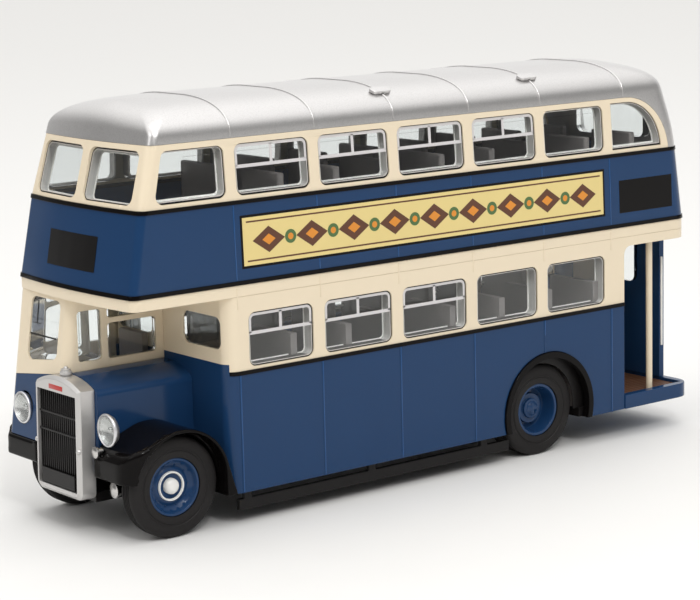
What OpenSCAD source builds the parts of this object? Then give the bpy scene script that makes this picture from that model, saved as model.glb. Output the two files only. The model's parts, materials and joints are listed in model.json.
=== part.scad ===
// Die-cast model of a half-cab double deck bus with an open rear platform.
// Millimetres. +X forward, +Y towards the kerb side (the open platform side), +Z up.
// The origin is on the ground under the middle of the model.

/* [Body] */
// Width over the lower panels
body_w = 29.2; // [28:0.1:31]
// Front face of the saloon, behind the bonnet
bulkhead_x = 35.6; // [35:0.1:36]
// Thickness of the cast walls
wall = 1; // [0.8:0.05:1.2]
// Radius of the saloon's front corners in plan
front_corner_r = 2; // [1.5:0.1:2.5]
// Radius of the body's rear corners in plan
rear_corner_r = 3; // [2.5:0.1:4]
// Distance from one side pillar to the next
bay_pitch = 13.97; // [13.6:0.01:14.1]
// Length of the body behind its last bay
tail_l = 2.64; // [2:0.02:4]
// Gap between neighbouring pieces that are glued or screwed together
seat_gap = 0.04; // [0.02:0.01:0.08]

/* [Heights] */
// Lower edge of the side panels above the ground
skirt_z = 4.6; // [4.2:0.1:5]
// Height of the lower panels, up to the waist
panel_h = 16.6; // [16:0.1:17]
// Height of the lower window band, from the waist to the upper floor
low_band_h = 10.4; // [10:0.1:11]
// Height of the upper floor's edge, up to the belt
floor_h = 1.9; // [1.6:0.1:2.2]
// Height of the belt between the decks
belt_h = 10.85; // [10.4:0.05:11.2]
// Height of the upper window band
up_band_h = 8.7; // [8.3:0.05:9]
// Height of the roof above the upper window band
roof_h = 5.05; // [4.5:0.05:5.6]

/* [Upper deck] */
// How far the upper deck reaches past the saloon's front wall
deck_reach = 14.75; // [14:0.05:15]
// How far the front bows forward in its middle
front_bow = 0.85; // [0.2:0.05:1.2]
// How far the front falls back over the belt
belt_rake = 2.05; // [1.6:0.05:2.4]
// How far the front falls back over the upper windows
band_rake = 2.55; // [2:0.05:3]
// How far the sides lean in over the belt
belt_lean = 0.38; // [0:0.02:0.5]
// How far the sides lean in over the upper windows
band_lean = 0.64; // [0.4:0.02:0.9]
// How far the rear leans forward over the belt
tail_lean = 1.2; // [0.8:0.1:1.6]
// How far the rear leans forward over the upper windows
tail_sweep = 1.7; // [1.2:0.1:2.2]
// Radius of the upper deck's front corners in plan
deck_corner_r = 1.2; // [1.1:0.1:2]
// Height of a black bead
bead_h = 0.55; // [0.4:0.05:0.8]
// How far a bead stands out of the panels
bead_proud = 0.14; // [0.05:0.01:0.25]
// How far the front of the roof curves back
roof_front_run = 8; // [6:0.5:11]
// How far the rear of the roof curves forward
roof_rear_run = 9; // [7:0.5:12]
// Width of a raised roof seam
seam_w = 0.4; // [0.3:0.05:0.6]
// How far a roof seam stands up
seam_proud = 0.12; // [0.05:0.01:0.2]

/* [Windows] */
// Width of the pillar at the saloon's front corners
first_pillar = 2.54; // [2.4:0.01:2.8]
// Width of the pillars between lower windows
pillar_w = 2; // [1.8:0.05:2.4]
// Width of the pillars between upper windows
up_pillar_w = 1.71; // [1.5:0.01:2]
// How much shorter the first lower window is
first_win_trim = 1.05; // [0.5:0.05:1.5]
// Height of the lower windows' edge above the waist
low_sill = 0.65; // [0.5:0.05:1]
// Height of the panel over the lower windows
low_head = 2.3; // [2:0.1:2.8]
// Height of the upper windows' edge above the belt
up_sill = 0.8; // [0.6:0.05:1]
// Height of the strip over the upper windows
up_head = 0.95; // [0.8:0.05:1.4]
// Width of the post at the upper deck's front corners
deck_post_w = 2.3; // [1.9:0.1:2.8]
// Width of the pillar in the middle of the upper front
front_pillar_w = 1.9; // [1.5:0.1:2.4]
// Corner radius of the windows
win_r = 1.1; // [0.8:0.1:1.4]
// Thickness of the clear inserts behind the windows
glass_t = 0.6; // [0.4:0.05:0.8]
// How far a pane lies back from the outer face
pane_recess = 0.22; // [0.1:0.02:0.4]

/* [Cab] */
// Inner face of the cab beside the bonnet
cab_side_y = -0.9; // [-1.2:0.1:-0.6]
// How far the cab's panels reach below the waist
cab_drop = 9.7; // [9.2:0.1:10]
// How far the cab's foot lies behind the radiator's foot
cab_step = 0.6; // [0.4:0.1:1]
// Radius of the cab's front corners
cab_corner_r = 1.4; // [1.1:0.1:2]
// Top of the cab's blue panels at the off side, below the waist
split_drop = 1.6; // [1.2:0.1:2]
// Slope of the blue panels' upper edge across the cab
split_slope = 7.6; // [4:0.1:9]
// From the off side flank to the windscreen
screen_out = 3.75; // [3.4:0.05:4.2]
// From the cab's inner face to the windscreen
screen_in = 2.3; // [2:0.05:2.6]
// Height of the windscreen's edge above the blue panels
screen_sill = 1.95; // [1.6:0.05:2.2]
// Height of the strip over the windscreen
screen_head = 0.65; // [0.5:0.05:1]

/* [Bonnet and radiator] */
// How far the radiator's foot lies ahead of the saloon's front wall
nose_l = 18.3; // [18:0.1:18.8]
// Depth of the radiator shell
radiator_d = 2.6; // [2.2:0.1:2.8]
// Width of the radiator shell as a share of the body's width
radiator_share = 0.39; // [0.375:0.005:0.405]
// Middle of the radiator across the model
radiator_y = -0.5; // [-0.7:0.1:0]
// Height of the radiator's foot above the skirt
radiator_lift = 0.6; // [0.4:0.1:0.8]
// Height of the radiator up to its shoulders
radiator_h = 15; // [14.5:0.1:15.4]
// Rise of the radiator's curved top above its shoulders
radiator_rise = 1.3; // [1:0.1:1.6]
// Backward slope of the radiator
radiator_rake = 1.6; // [1:0.1:3]
// Bevel round the radiator's front
radiator_bevel = 0.45; // [0.3:0.05:0.6]
// How far the bonnet's kerb side stands beyond the radiator
bonnet_over = 0.7; // [0.5:0.1:1]
// Height of the bonnet's crown above the waist
bonnet_rise = 0.3; // [0:0.1:0.4]
// Radius of the bonnet's upper edge
bonnet_r = 1.2; // [0.8:0.1:1.6]
// How far the blue scuttle behind the bonnet rises above the waist
scuttle_rise = 1.3; // [1:0.1:1.6]
// Radius of a headlamp
lamp_r = 2.25; // [2:0.05:2.4]

/* [Wheels] */
// How far the front axle lies ahead of the saloon's front wall
axle_reach = 8.2; // [8:0.1:8.6]
// How far the rear axle lies ahead of the platform
rear_axle_in = 16.85; // [16.5:0.05:17.2]
// Radius of the tyres
tyre_r = 6.95; // [6.7:0.05:7.05]
// Width of a front tyre
front_tyre_w = 3; // [2.6:0.1:3.3]
// Width of a rear twin tyre
rear_tyre_w = 4.6; // [4:0.1:5]
// Radius of the wheel rims inside the tyres
rim_r = 4; // [3.8:0.1:4.3]
// How far the tyres lie inside the panels
tyre_inset = 1.4; // [1.3:0.05:1.6]
// Radius of the steel axles
axle_r = 0.9; // [0.7:0.05:1]
// Clearance of an axle in its bearing
bearing_gap = 0.06; // [0.02:0.01:0.1]
// Gap between a rear tyre and its arch
arch_gap = 2.1; // [1.8:0.05:2.3]
// How far the centre of the rear arches lies behind the axle
arch_back = 0.9; // [0:0.1:1]
// Width of the black lip round an arch
lip_w = 1; // [0.8:0.1:1.1]
// Gap between a front tyre and the wing over it
wing_gap = 0.3; // [0.25:0.05:0.4]
// How far a wing's curve is larger than the tyre
wing_over = 0.5; // [0.4:0.05:0.7]
// How far a wing's curve lies above the axle
wing_lift = 0.6; // [0.4:0.05:0.8]
// How far a wing's curve lies behind the axle
wing_back = 0.4; // [0:0.1:0.6]
// Width of a wing's lip round the wheel
wing_lip = 0.45; // [0.35:0.05:0.6]
// How far the wings stand out of the panels
wing_proud = 0.25; // [0.15:0.05:0.35]

/* [Platform] */
// Length of the platform's way in
platform_l = 14.45; // [14:0.05:15]
// Width of the way in at the rear
entry_w = 5.6; // [5:0.1:6.4]
// Height of the panel over the way in
entry_head = 1.4; // [1.1:0.1:1.6]
// Height of the platform's raised edge above the skirt
platform_rise = 2.2; // [1.9:0.1:2.5]
// Depth of the platform's floor below that edge
platform_sink = 0.8; // [0.6:0.1:1]
// Width of the raised edge
platform_edge = 1.3; // [1:0.1:1.6]
// How far the platform stands out behind the body
platform_proud = 0.5; // [0.3:0.1:0.7]
// Radius of the hand pole
pole_r = 0.5; // [0.4:0.05:0.6]

/* [Inside and underneath] */
// How far the lower seats' backs show above the waist
low_seat_show = 4; // [3:0.1:5]
// How far the upper seats' backs show above the belt
up_seat_show = 2.95; // [2:0.05:3.5]
// Distance from one seat to the next
seat_pitch = 9.6; // [9.2:0.1:10]
// Width of the way between the seats
gangway_w = 6.5; // [6.2:0.1:7]
// Thickness of the base
base_h = 1.4; // [1.2:0.1:1.6]
// Radius of the two screw holes in the base
screw_r = 1.1; // [0.9:0.05:1.3]
// Distance between the screw holes
screw_pitch = 44; // [40:0.5:48]

/* [Hidden] */

$fn = 64;
// Overshoot of a cut past the face it opens
over = 1;
// Thickness of the outlines between which a sloping wall is drawn
thin = 0.05;
blue = "#38557f";
cream = "#ebdfc6";
black = "#1c1a1a";
silver = "#d6d5d4";
grey = "#4a4a4c";
brown = "#6b4226";
steel = "#b8b8b8";
clear = "#e8eef0";

half_w = body_w/2;
inner_y = half_w - wall;
waist_z = skirt_z + panel_h;
floor_z = waist_z + low_band_h;
belt_z = floor_z + floor_h;
belt_top_z = belt_z + belt_h;
cantrail_z = belt_top_z + up_band_h;
roof_z = cantrail_z + roof_h;
bead_z0 = waist_z - bead_h/2;
bead_z1 = waist_z + bead_h/2;
floor_top_z = belt_z - bead_h/2;
belt_bead_z = belt_z + bead_h/2;
top_bead_z = belt_top_z + bead_h/2;
scuttle_z = waist_z + scuttle_rise;

bay_count = 6;
first_bay_x = bulkhead_x - first_pillar;
rear_x = first_bay_x - bay_count*bay_pitch - tail_l;
deck_front_x = bulkhead_x + deck_reach;
deck_top_front_x = deck_front_x - belt_rake;
deck_top_rear_x = rear_x + tail_lean;
cantrail_lean = belt_lean + band_lean;
side_angle = atan(band_lean/up_band_h);
rake_angle = atan(band_rake/up_band_h);
front_angle = atan(front_bow/half_w);

entry_x = rear_x + platform_l;
entry_top_z = floor_z - entry_head;
rear_wall_y = half_w - entry_w;
rear_split_x = rear_x + rear_corner_r + 0.2;
platform_z = skirt_z + platform_rise;
platform_floor_z = platform_z - platform_sink;

low_win_w = bay_pitch - pillar_w;
low_win_z0 = waist_z + low_sill;
low_win_z1 = floor_z - low_head;
up_win_w = bay_pitch - up_pillar_w;
up_win_h = up_band_h - up_sill - up_head;

front_axle_x = bulkhead_x + axle_reach;
rear_axle_x = entry_x + rear_axle_in;
tyre_y = half_w - tyre_inset;
arch_x = rear_axle_x - arch_back;
arch_r = tyre_r + arch_gap;
base_z = skirt_z + base_h;
bearing_top_z = tyre_r + axle_r + 1;

radiator_x = bulkhead_x + nose_l;
radiator_w = radiator_share*body_w;
bonnet_y = radiator_y + radiator_w/2 + bonnet_over;
radiator_z0 = skirt_z + radiator_lift;
radiator_z1 = radiator_z0 + radiator_h;
crown_r = (radiator_w*radiator_w/4 + radiator_rise*radiator_rise)/(2*radiator_rise);
cab_z = waist_z - cab_drop;
cab_front_x = radiator_x - cab_step;
cab_top_x = deck_front_x - seat_gap;
split_z = waist_z - split_drop;

lamp_z = waist_z - 5.7;
kerb_lamp = [radiator_x - 2.2, half_w - 5, lamp_z];
lamp_bowl = 1.2;
off_lamp_y = -half_w + 4;

// Plan outline with true arcs: rear face x0, front corners at x1, half width w, front and rear radii
module plan(x0, x1, w, rf, rr, bow = 0) {
    steps = 4;
    side = w - rf;
    translate([x0 + rr, -w]) square([x1 - rf - x0 - rr, 2*w]);
    translate([x0, rr - w]) square([rr, 2*(w - rr)]);
    translate([x1 - rf, -side]) square([rf, 2*side]);
    for (s = [-1, 1]) {
        translate([x0 + rr, s*(w - rr)]) circle(rr);
        translate([x1 - rf, s*side]) circle(rf);
    }
    // Front face that bows forward in its middle
    if (bow > 0)
        polygon([for (i = [-steps:steps]) [x1 + bow*(1 - pow(i/steps, 2)), side*i/steps]]);
}

// Thin slab of a plan outline that stands on height z, from which a sloping wall is drawn
module station(z, x0, x1, w, rf, rr, bow) {
    translate([0, 0, z])
        linear_extrude(thin)
            hull() plan(x0, x1, w, rf, rr, bow);
}

// Upright prism of a plan outline between two heights
module prism(z0, z1, x0, x1, w, rf, rr, bow = 0) {
    translate([0, 0, z0])
        linear_extrude(z1 - z0)
            plan(x0, x1, w, rf, rr, bow);
}

// Rectangle with rounded corners, from its lower left corner
module pane_outline(w, h, r) {
    translate([r, 0]) square([w - 2*r, h]);
    translate([0, r]) square([w, h - 2*r]);
    for (x = [r, w - r], y = [r, h - r]) translate([x, y]) circle(r);
}

// Prism of an outline drawn in X and Z, from y0 to y1
module across(y0, y1) {
    translate([0, y1, 0])
        rotate([90, 0, 0])
            linear_extrude(y1 - y0)
                children();
}

// Prism of an outline drawn in Y and Z, from x0 to x1
module along(x0, x1) {
    translate([x0, 0, 0])
        rotate([90, 0, 90])
            linear_extrude(x1 - x0)
                children();
}

// A cylinder across the model, at place x and height z
module across_rod(x, z, r, y0, y1) {
    translate([x, y1, z])
        rotate([90, 0, 0])
            cylinder(h = y1 - y0, r = r);
}

// Kerb side piece for s = 1, its mirror image on the off side for s = -1
module on_side(s) {
    mirror([0, s > 0 ? 0 : 1, 0]) children();
}

// Upright walls of the saloon between two heights
module saloon_walls(z0, z1) {
    difference() {
        prism(z0, z1, rear_x, bulkhead_x, half_w, front_corner_r, rear_corner_r);
        prism(z0 - over, z1 + over, rear_x + wall, bulkhead_x - wall, inner_y,
            front_corner_r - wall, rear_corner_r - wall);
    }
}

// The way in at the rear kerb side corner, between two heights
module entry(z0, z1) {
    translate([rear_x - over, rear_wall_y, z0])
        cube([entry_x - rear_x + over, half_w - rear_wall_y + over, z1 - z0]);
}

// Everything behind x between two heights
module rear_part(x, z0, z1) {
    translate([rear_x - over, -half_w - over, z0])
        cube([x - rear_x + over, body_w + 2*over, z1 - z0]);
}

// The outer skin of the saloon's front wall between two heights
scuttle_t = 0.6*wall;
module front_part(z0, z1) {
    translate([bulkhead_x - scuttle_t, -half_w - over, z0])
        cube([scuttle_t + over, body_w + 2*over, z1 - z0]);
}

// Nose of the base that reaches the radiator
base_nose_w = 9.6;

module lower_panels() {
    strip_w = 0.36;
    strip_proud = 0.1;
    strip_in = wall/2;
    color(blue) difference() {
        union() {
            saloon_walls(skirt_z, bead_z0);
            // The rear wall runs up to the panel over the entry
            intersection() {
                saloon_walls(bead_z0, entry_top_z);
                rear_part(rear_split_x, bead_z0, entry_top_z);
            }
            // The scuttle rises above the waist behind the bonnet
            intersection() {
                saloon_walls(bead_z0, scuttle_z);
                front_part(bead_z0, scuttle_z);
            }
            // Cover strips over the joints of the side panels
            for (s = [-1, 1], i = [0:5])
                let (x = first_bay_x + 0.6 - i*bay_pitch)
                    if (x > entry_x)
                        on_side(s)
                            translate([x - strip_w/2, half_w - strip_in, skirt_z])
                                cube([strip_w, strip_in + strip_proud, bead_z0 - skirt_z]);
        }
        entry(skirt_z - over, entry_top_z + over);
        along(rear_x - over, rear_x + wall + over) rear_panes(0);
        // Room for the platform under the rear walls
        rear_part(entry_x, skirt_z - over, platform_z + seat_gap);
        across_rod(arch_x, tyre_r, arch_r, -half_w - over, half_w + over);
        // The base passes under the front wall to the radiator
        translate([bulkhead_x - wall - over, -base_nose_w/2 - seat_gap, skirt_z - over])
            cube([wall + 2*over, base_nose_w + 2*seat_gap, base_z + seat_gap - skirt_z + over]);
    }
}

// Side windows of the lower saloon: column 0 the rear edge, column 1 the length
low_bays = [for (i = [0:bay_count - 1])
    let (front = first_bay_x - i*bay_pitch, trim = i == 0 ? first_win_trim : 0)
        [front - low_win_w, low_win_w - trim]];
// Bays on the kerb side, which ends at the platform
kerb_bays = bay_count - 1;
front_win_y0 = 4.1;
front_win_y1 = half_w - 1.6;
front_win_z0 = waist_z + 3.2;
front_win_z1 = floor_z - 2.7;
rear_win_w = 12;
rear_win_y = rear_wall_y - 5 - rear_win_w;

// Panes of one lower side, drawn in X and Z and grown by a margin
module low_panes(count, grow) {
    for (i = [0:count - 1])
        translate([low_bays[i][0] - grow, low_win_z0 - grow])
            pane_outline(low_bays[i][1] + 2*grow, low_win_z1 - low_win_z0 + 2*grow, win_r + grow);
}

// Panes of the saloon's front wall, drawn in Y and Z
module bulkhead_panes(grow) {
    w = front_win_y1 - front_win_y0;
    for (y = [front_win_y0, -front_win_y1])
        translate([y - grow, front_win_z0 - grow])
            pane_outline(w + 2*grow, front_win_z1 - front_win_z0 + 2*grow, win_r + grow);
}

// Pane of the rear wall above the platform, drawn in Y and Z
module rear_panes(grow) {
    translate([rear_win_y - grow, low_win_z0 - grow])
        pane_outline(rear_win_w + 2*grow, low_win_z1 - low_win_z0 + 2*grow, win_r + grow);
}

module lower_window_band() {
    corner = 1.4;
    color(cream) difference() {
        saloon_walls(bead_z1, floor_z);
        across(half_w - wall - over, half_w + over) low_panes(kerb_bays, 0);
        across(-half_w - over, -half_w + wall + over) low_panes(len(low_bays), 0);
        along(bulkhead_x - wall - over, bulkhead_x + over) bulkhead_panes(0);
        across(-half_w - over, half_w + over)
            translate([rear_x - over, bead_z1 - over])
                square([rear_split_x - rear_x + over, entry_top_z - bead_z1 + over]);
        front_part(bead_z1 - over, scuttle_z);
        // The way in, with a rounded upper front corner
        across(rear_wall_y, half_w + over)
            difference() {
                translate([rear_x - over, bead_z1 - over])
                    square([entry_x - rear_x + over, entry_top_z - bead_z1 + over]);
                translate([entry_x - corner, entry_top_z - corner])
                    difference() {
                        square(corner + over);
                        circle(corner);
                    }
            }
    }
}

// Front of the cab at a height, on its sloping face
function cab_x(z) = cab_front_x + (cab_top_x - cab_front_x)*(z - cab_z)/(floor_z - cab_z);

// Plan of the cab at height z, inset by a margin
module cab_station(z, inset) {
    r = cab_corner_r - inset;
    x1 = cab_x(z) - inset;
    y0 = -half_w + inset;
    y1 = cab_side_y - inset;
    translate([0, 0, z])
        linear_extrude(thin)
            hull() {
                translate([bulkhead_x + seat_gap, y0]) square([1, y1 - y0]);
                for (y = [y0 + r, y1 - r]) translate([x1 - r, y]) circle(r);
            }
}

// Hollow cab, open to the saloon's front wall
cab_wall = 0.8*wall;
module cab_walls() {
    difference() {
        hull() {
            cab_station(cab_z, 0);
            cab_station(floor_z - thin, 0);
        }
        hull() {
            cab_station(cab_z - over, cab_wall);
            cab_station(floor_z + over, cab_wall);
        }
    }
}

// Everything above the sloping edge of the cab's blue panels
module above_split(gap) {
    translate([bulkhead_x, -half_w, split_z])
        rotate([split_slope, 0, 0])
            translate([-over, -over, gap])
                cube([nose_l + 2*over, body_w, 2*low_band_h]);
}

// Leans the radiator's pieces back from their foot
module raked() {
    translate([radiator_x, radiator_y, radiator_z0])
        rotate([0, -radiator_rake, 0])
            translate([-radiator_x, 0, -radiator_z0])
                children();
}

// Front outline of the radiator, drawn in Y and Z and inset by a margin
module radiator_outline(inset) {
    w = radiator_w - 2*inset;
    z0 = radiator_z0 + inset;
    foot_r = 1;
    intersection() {
        translate([-w/2, z0]) pane_outline(w, radiator_h + radiator_rise + over, foot_r);
        translate([0, radiator_z1 + radiator_rise - crown_r]) circle(crown_r - inset);
    }
}

// Room that the radiator takes up in front of the cab and the bonnet
module radiator_room() {
    raked()
        along(radiator_x - radiator_d - seat_gap, radiator_x + over)
            radiator_outline(-seat_gap);
}

filler_r = 0.85;
filler_h = 0.5;
filler_back = 0.65*radiator_d;
knob_r = 0.35;
// Places the filler cap on the radiator's crown
module on_radiator_top() {
    raked()
        translate([radiator_x - filler_back, 0, radiator_z1 + radiator_rise + seat_gap])
            children();
}

// Room that the filler cap takes up in the cab's pieces
module filler_room() {
    on_radiator_top()
        translate([0, 0, -seat_gap]) cylinder(h = filler_h + 2*knob_r + 2*seat_gap, r = filler_r + seat_gap);
}

// Room that a lamp takes up in the piece behind it: its place, radius and bowl depth
module lamp_room(place, r, bowl) {
    translate(place - [bowl + seat_gap, 0, 0])
        rotate([0, 90, 0])
            cylinder(h = 2*bowl + 2*r, r = r + seat_gap);
}

off_lamp = [cab_x(lamp_z) + 0.1, off_lamp_y, lamp_z];
wing_r = tyre_r + wing_over;
wing_x = front_axle_x - wing_back;
wing_z = tyre_r + wing_lift;

module cab_panels() {
    color(blue) difference() {
        cab_walls();
        above_split(0);
        across_rod(wing_x, wing_z, wing_r - wing_lip/2, -half_w - over, -inner_y + over);
        radiator_room();
        filler_room();
        lamp_room(off_lamp, lamp_r, lamp_bowl);
    }
}

screen_y0 = -half_w + screen_out;
screen_y1 = cab_side_y - screen_in;
screen_z1 = floor_z - screen_head;
// Cab side windows: rear edge ahead of the saloon, length, sill above the waist, height
cab_bays = [[1.25, 7.85, 1.4, 4.95], [1.25, 7.85, 7.05, 1.45], [10.1, 3.75, 1.5, 7]];

// Windscreen, whose lower edge follows the blue panels
module screen_pane(grow) {
    r = win_r;
    function sill(y) = split_z + screen_sill + (y + half_w)*tan(split_slope);
    hull()
        for (y = [screen_y0 + r, screen_y1 - r], z = [sill(y) + r, screen_z1 - r])
            translate([y, z]) circle(r + grow);
}

module cab_side_panes(grow) {
    r = win_r/2;
    for (b = cab_bays)
        translate([bulkhead_x + b[0] - grow, waist_z + b[2] - grow])
            pane_outline(b[1] + 2*grow, b[3] + 2*grow, r + grow);
}

module cab_window_frame() {
    color(cream) difference() {
        intersection() {
            cab_walls();
            above_split(seat_gap);
        }
        along(cab_top_x - 4*wall, cab_front_x + over) screen_pane(0);
        across(cab_side_y - 2*wall, cab_side_y + over) cab_side_panes(0);
        across(-half_w - over, -half_w + 2*wall) cab_side_panes(0);
        radiator_room();
        filler_room();
    }
}

// Floor of the upper deck, whose edge shows as a cream band below the belt
module upper_floor() {
    color(cream)
        prism(floor_z, floor_top_z, rear_x, deck_front_x, half_w, deck_corner_r, rear_corner_r, front_bow);
}

// Slanting plan outline of the belt at height z, grown by a margin
module belt_station(z, grow) {
    t = (z - belt_z)/belt_h;
    station(z, rear_x + tail_lean*t - grow, deck_front_x - belt_rake*t + grow,
        half_w - belt_lean*t + grow, deck_corner_r + grow, rear_corner_r + grow, front_bow);
}

// Hollow ring of the belt between two heights
module belt_ring(z0, z1, grow) {
    difference() {
        hull() {
            belt_station(z0, grow);
            belt_station(z1 - thin, grow);
        }
        hull() {
            belt_station(z0 - over, -wall);
            belt_station(z1 + over, -wall);
        }
    }
}

module upper_belt() {
    color(blue) belt_ring(belt_bead_z, top_bead_z - bead_h, 0);
}

// Black beads at the waist and along both edges of the belt
module beading() {
    color(black) {
        belt_ring(floor_top_z, belt_bead_z, bead_proud);
        belt_ring(top_bead_z - bead_h, top_bead_z, bead_proud);
        difference() {
            prism(bead_z0, bead_z1, rear_x, bulkhead_x, half_w + bead_proud,
                front_corner_r, rear_corner_r);
            prism(bead_z0 - over, bead_z1 + over, rear_x + wall, bulkhead_x - wall, inner_y,
                front_corner_r - wall, rear_corner_r - wall);
            entry(bead_z0 - over, bead_z1 + over);
            rear_part(rear_split_x, bead_z0 - over, bead_z1 + over);
            front_part(bead_z0 - over, bead_z1 + over);
        }
    }
}

// Rise of the roof's curve at step a of 90 degrees, and how much of its run is left there
roof_power = 0.8;
roof_end = 82;
roof_steps = [0, 14, 28, 42, 56, 70, roof_end];
// Heights of the window band's outlines, as shares of its height
band_steps = [0.35, 0.7];
function roof_up(a) = cantrail_z + roof_h*pow(sin(a)/sin(roof_end), roof_power);
function roof_in(a) = 1 - pow(cos(a), roof_power);

// Plan outline of the upper deck at its window band, inset by a margin
module band_station(z, inset) {
    t = (z - belt_top_z)/up_band_h;
    x0 = deck_top_rear_x + tail_sweep*t*t;
    x1 = deck_top_front_x - band_rake*t;
    station(z, x0 + inset, x1 - inset, half_w - belt_lean - band_lean*t - inset,
        deck_corner_r - inset/2, rear_corner_r + t - inset/2, front_bow);
}

// Growth of the roof's plan radii towards its crown, at the front and at the rear
roof_front_r = 9;
roof_rear_r = 8;
// Share of the roof's half width that its curve takes up
roof_close = 0.96;

// Plan outline of the roof at step a of its curve
module roof_station(a, inset) {
    in = roof_in(a);
    w = (half_w - cantrail_lean)*(1 - roof_close*in) - inset;
    x0 = deck_top_rear_x + tail_sweep + roof_rear_run*in + inset;
    x1 = deck_top_front_x - band_rake - roof_front_run*in - inset;
    rf = min(deck_corner_r + roof_front_r*in, w - 0.2);
    rr = min(rear_corner_r + 1 + roof_rear_r*in, w - 0.2);
    station(roof_up(a) - inset, x0, x1, w, rf, rr, front_bow);
}

// Upper deck above the belt, as one solid inset by a margin
module upper_body(inset) {
    low = inset > 0 ? over : 0;
    hull() {
        band_station(top_bead_z - low, inset);
        for (t = band_steps) band_station(top_bead_z + t*(cantrail_z - top_bead_z), inset);
        for (a = roof_steps) roof_station(a, inset);
    }
}

module upper_shell() {
    difference() {
        upper_body(0);
        upper_body(wall);
    }
}

// Side outline of the cream window band, which ends in a quarter circle at the rear
quarter_x = entry_x - 1.45;
band_top_z = cantrail_z - 0.15;
quarter_r = up_band_h - 0.1;
module band_outline(grow) {
    translate([quarter_x, top_bead_z - over])
        square([deck_front_x + front_bow - quarter_x, band_top_z - top_bead_z + over + grow]);
    intersection() {
        translate([quarter_x, band_top_z - quarter_r]) circle(quarter_r + grow);
        translate([quarter_x - 2*quarter_r, top_bead_z - over]) square([2*quarter_r, 2*quarter_r]);
    }
}

// Upper side windows: column 0 the rear edge, column 1 the length
up_first_x = first_bay_x - 0.2;
up_bays = [for (i = [0:kerb_bays - 1]) [up_first_x - i*bay_pitch - up_win_w, up_win_w]];
front_quarter_x = up_first_x + up_pillar_w;
front_quarter_w = deck_top_front_x - deck_post_w - front_quarter_x;
front_quarter_lean = 0.85*rake_angle;
rear_quarter_x = up_first_x - kerb_bays*bay_pitch;
rear_quarter_r = quarter_r - 1.5;
up_pane_h = up_win_h/cos(side_angle);

// Panes of one upper side, drawn in its own leaning plane from the belt's top
module up_panes(grow) {
    translate([0, up_sill - grow]) {
        for (b = up_bays)
            translate([b[0] - grow, 0]) pane_outline(b[1] + 2*grow, up_pane_h + 2*grow, win_r + grow);
        // Front quarter light, whose leading edge follows the sloping front
        hull()
            for (v = [win_r + grow, up_pane_h - win_r + grow])
                let (lean = v*tan(front_quarter_lean))
                    for (x = [front_quarter_x + win_r, front_quarter_x + front_quarter_w - win_r - lean])
                        translate([x, v]) circle(win_r + grow);
    }
    // Rear quarter light, with a quarter circle as its upper rear corner
    translate([quarter_x, up_sill - grow])
        square([rear_quarter_x - quarter_x + grow, rear_quarter_r + 2*grow]);
    intersection() {
        translate([quarter_x, up_sill]) circle(rear_quarter_r + grow);
        translate([quarter_x - 2*rear_quarter_r, up_sill - grow]) square(2*rear_quarter_r);
    }
}

// Places an outline on the leaning side wall s, with its depth running inwards
module on_upper_side(s, depth0, depth1) {
    translate([0, s*(half_w - belt_lean), belt_top_z])
        rotate([90 + s*side_angle, 0, 0])
            translate([0, 0, s > 0 ? depth0 : -depth1])
                linear_extrude(depth1 - depth0)
                    children();
}

front_pane_w = half_w - belt_lean - front_pillar_w/2 - deck_post_w;
// Pane of half s of the upper front, drawn in its own sloping plane from the middle outwards
module front_pane(s, grow) {
    h = up_win_h/cos(rake_angle);
    y = s > 0 ? front_pillar_w/2 : -front_pillar_w/2 - front_pane_w;
    translate([y - grow, up_sill/cos(rake_angle) - grow])
        pane_outline(front_pane_w + 2*grow, h + 2*grow, win_r + grow);
}

// Places an outline on half s of the sloping front, with its depth running backwards
module on_upper_front(s, depth0, depth1) {
    translate([deck_top_front_x + front_bow, 0, belt_top_z])
        rotate(s*front_angle)
            rotate([90, 0, 90])
                rotate([-rake_angle, 0, 0])
                    translate([0, 0, -depth1])
                        linear_extrude(depth1 - depth0)
                            children();
}

module upper_window_band() {
    $fn = 48;
    color(cream) difference() {
        intersection() {
            upper_shell();
            across(-half_w - over, half_w + over) band_outline(0);
        }
        for (s = [-1, 1]) {
            on_upper_side(s, -over, wall + over) up_panes(0);
            on_upper_front(s, -over, wall + over) front_pane(s, 0);
        }
    }
}

rear_screen_w = 15;
rear_screen_z = belt_top_z + 1.25;
rear_screen_h = up_win_h - 1.35;
module rear_screen(grow) {
    translate([-rear_screen_w/2 - grow, rear_screen_z - grow])
        pane_outline(rear_screen_w + 2*grow, rear_screen_h + 2*grow, win_r + grow);
}

// Raised seams over the bays, and one where the rear of the roof begins to fall
seams = concat([for (i = [0:kerb_bays - 1]) first_bay_x + 0.2 - i*bay_pitch], [entry_x - 0.85]);
module seam_slabs(grow) {
    for (x = seams)
        translate([x - seam_w/2 - grow, -half_w, cantrail_z + 0.1 - grow])
            cube([seam_w + 2*grow, body_w, roof_z]);
}

module roof() {
    $fn = 48;
    color(silver) difference() {
        union() {
            difference() {
                upper_shell();
                across(-half_w - over, half_w + over) band_outline(seat_gap);
            }
            intersection() {
                difference() {
                    upper_body(-seam_proud);
                    upper_body(wall/2);
                }
                seam_slabs(0);
            }
        }
        along(rear_x - over, rear_x + 4*wall) rear_screen(0);
    }
}

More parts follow.
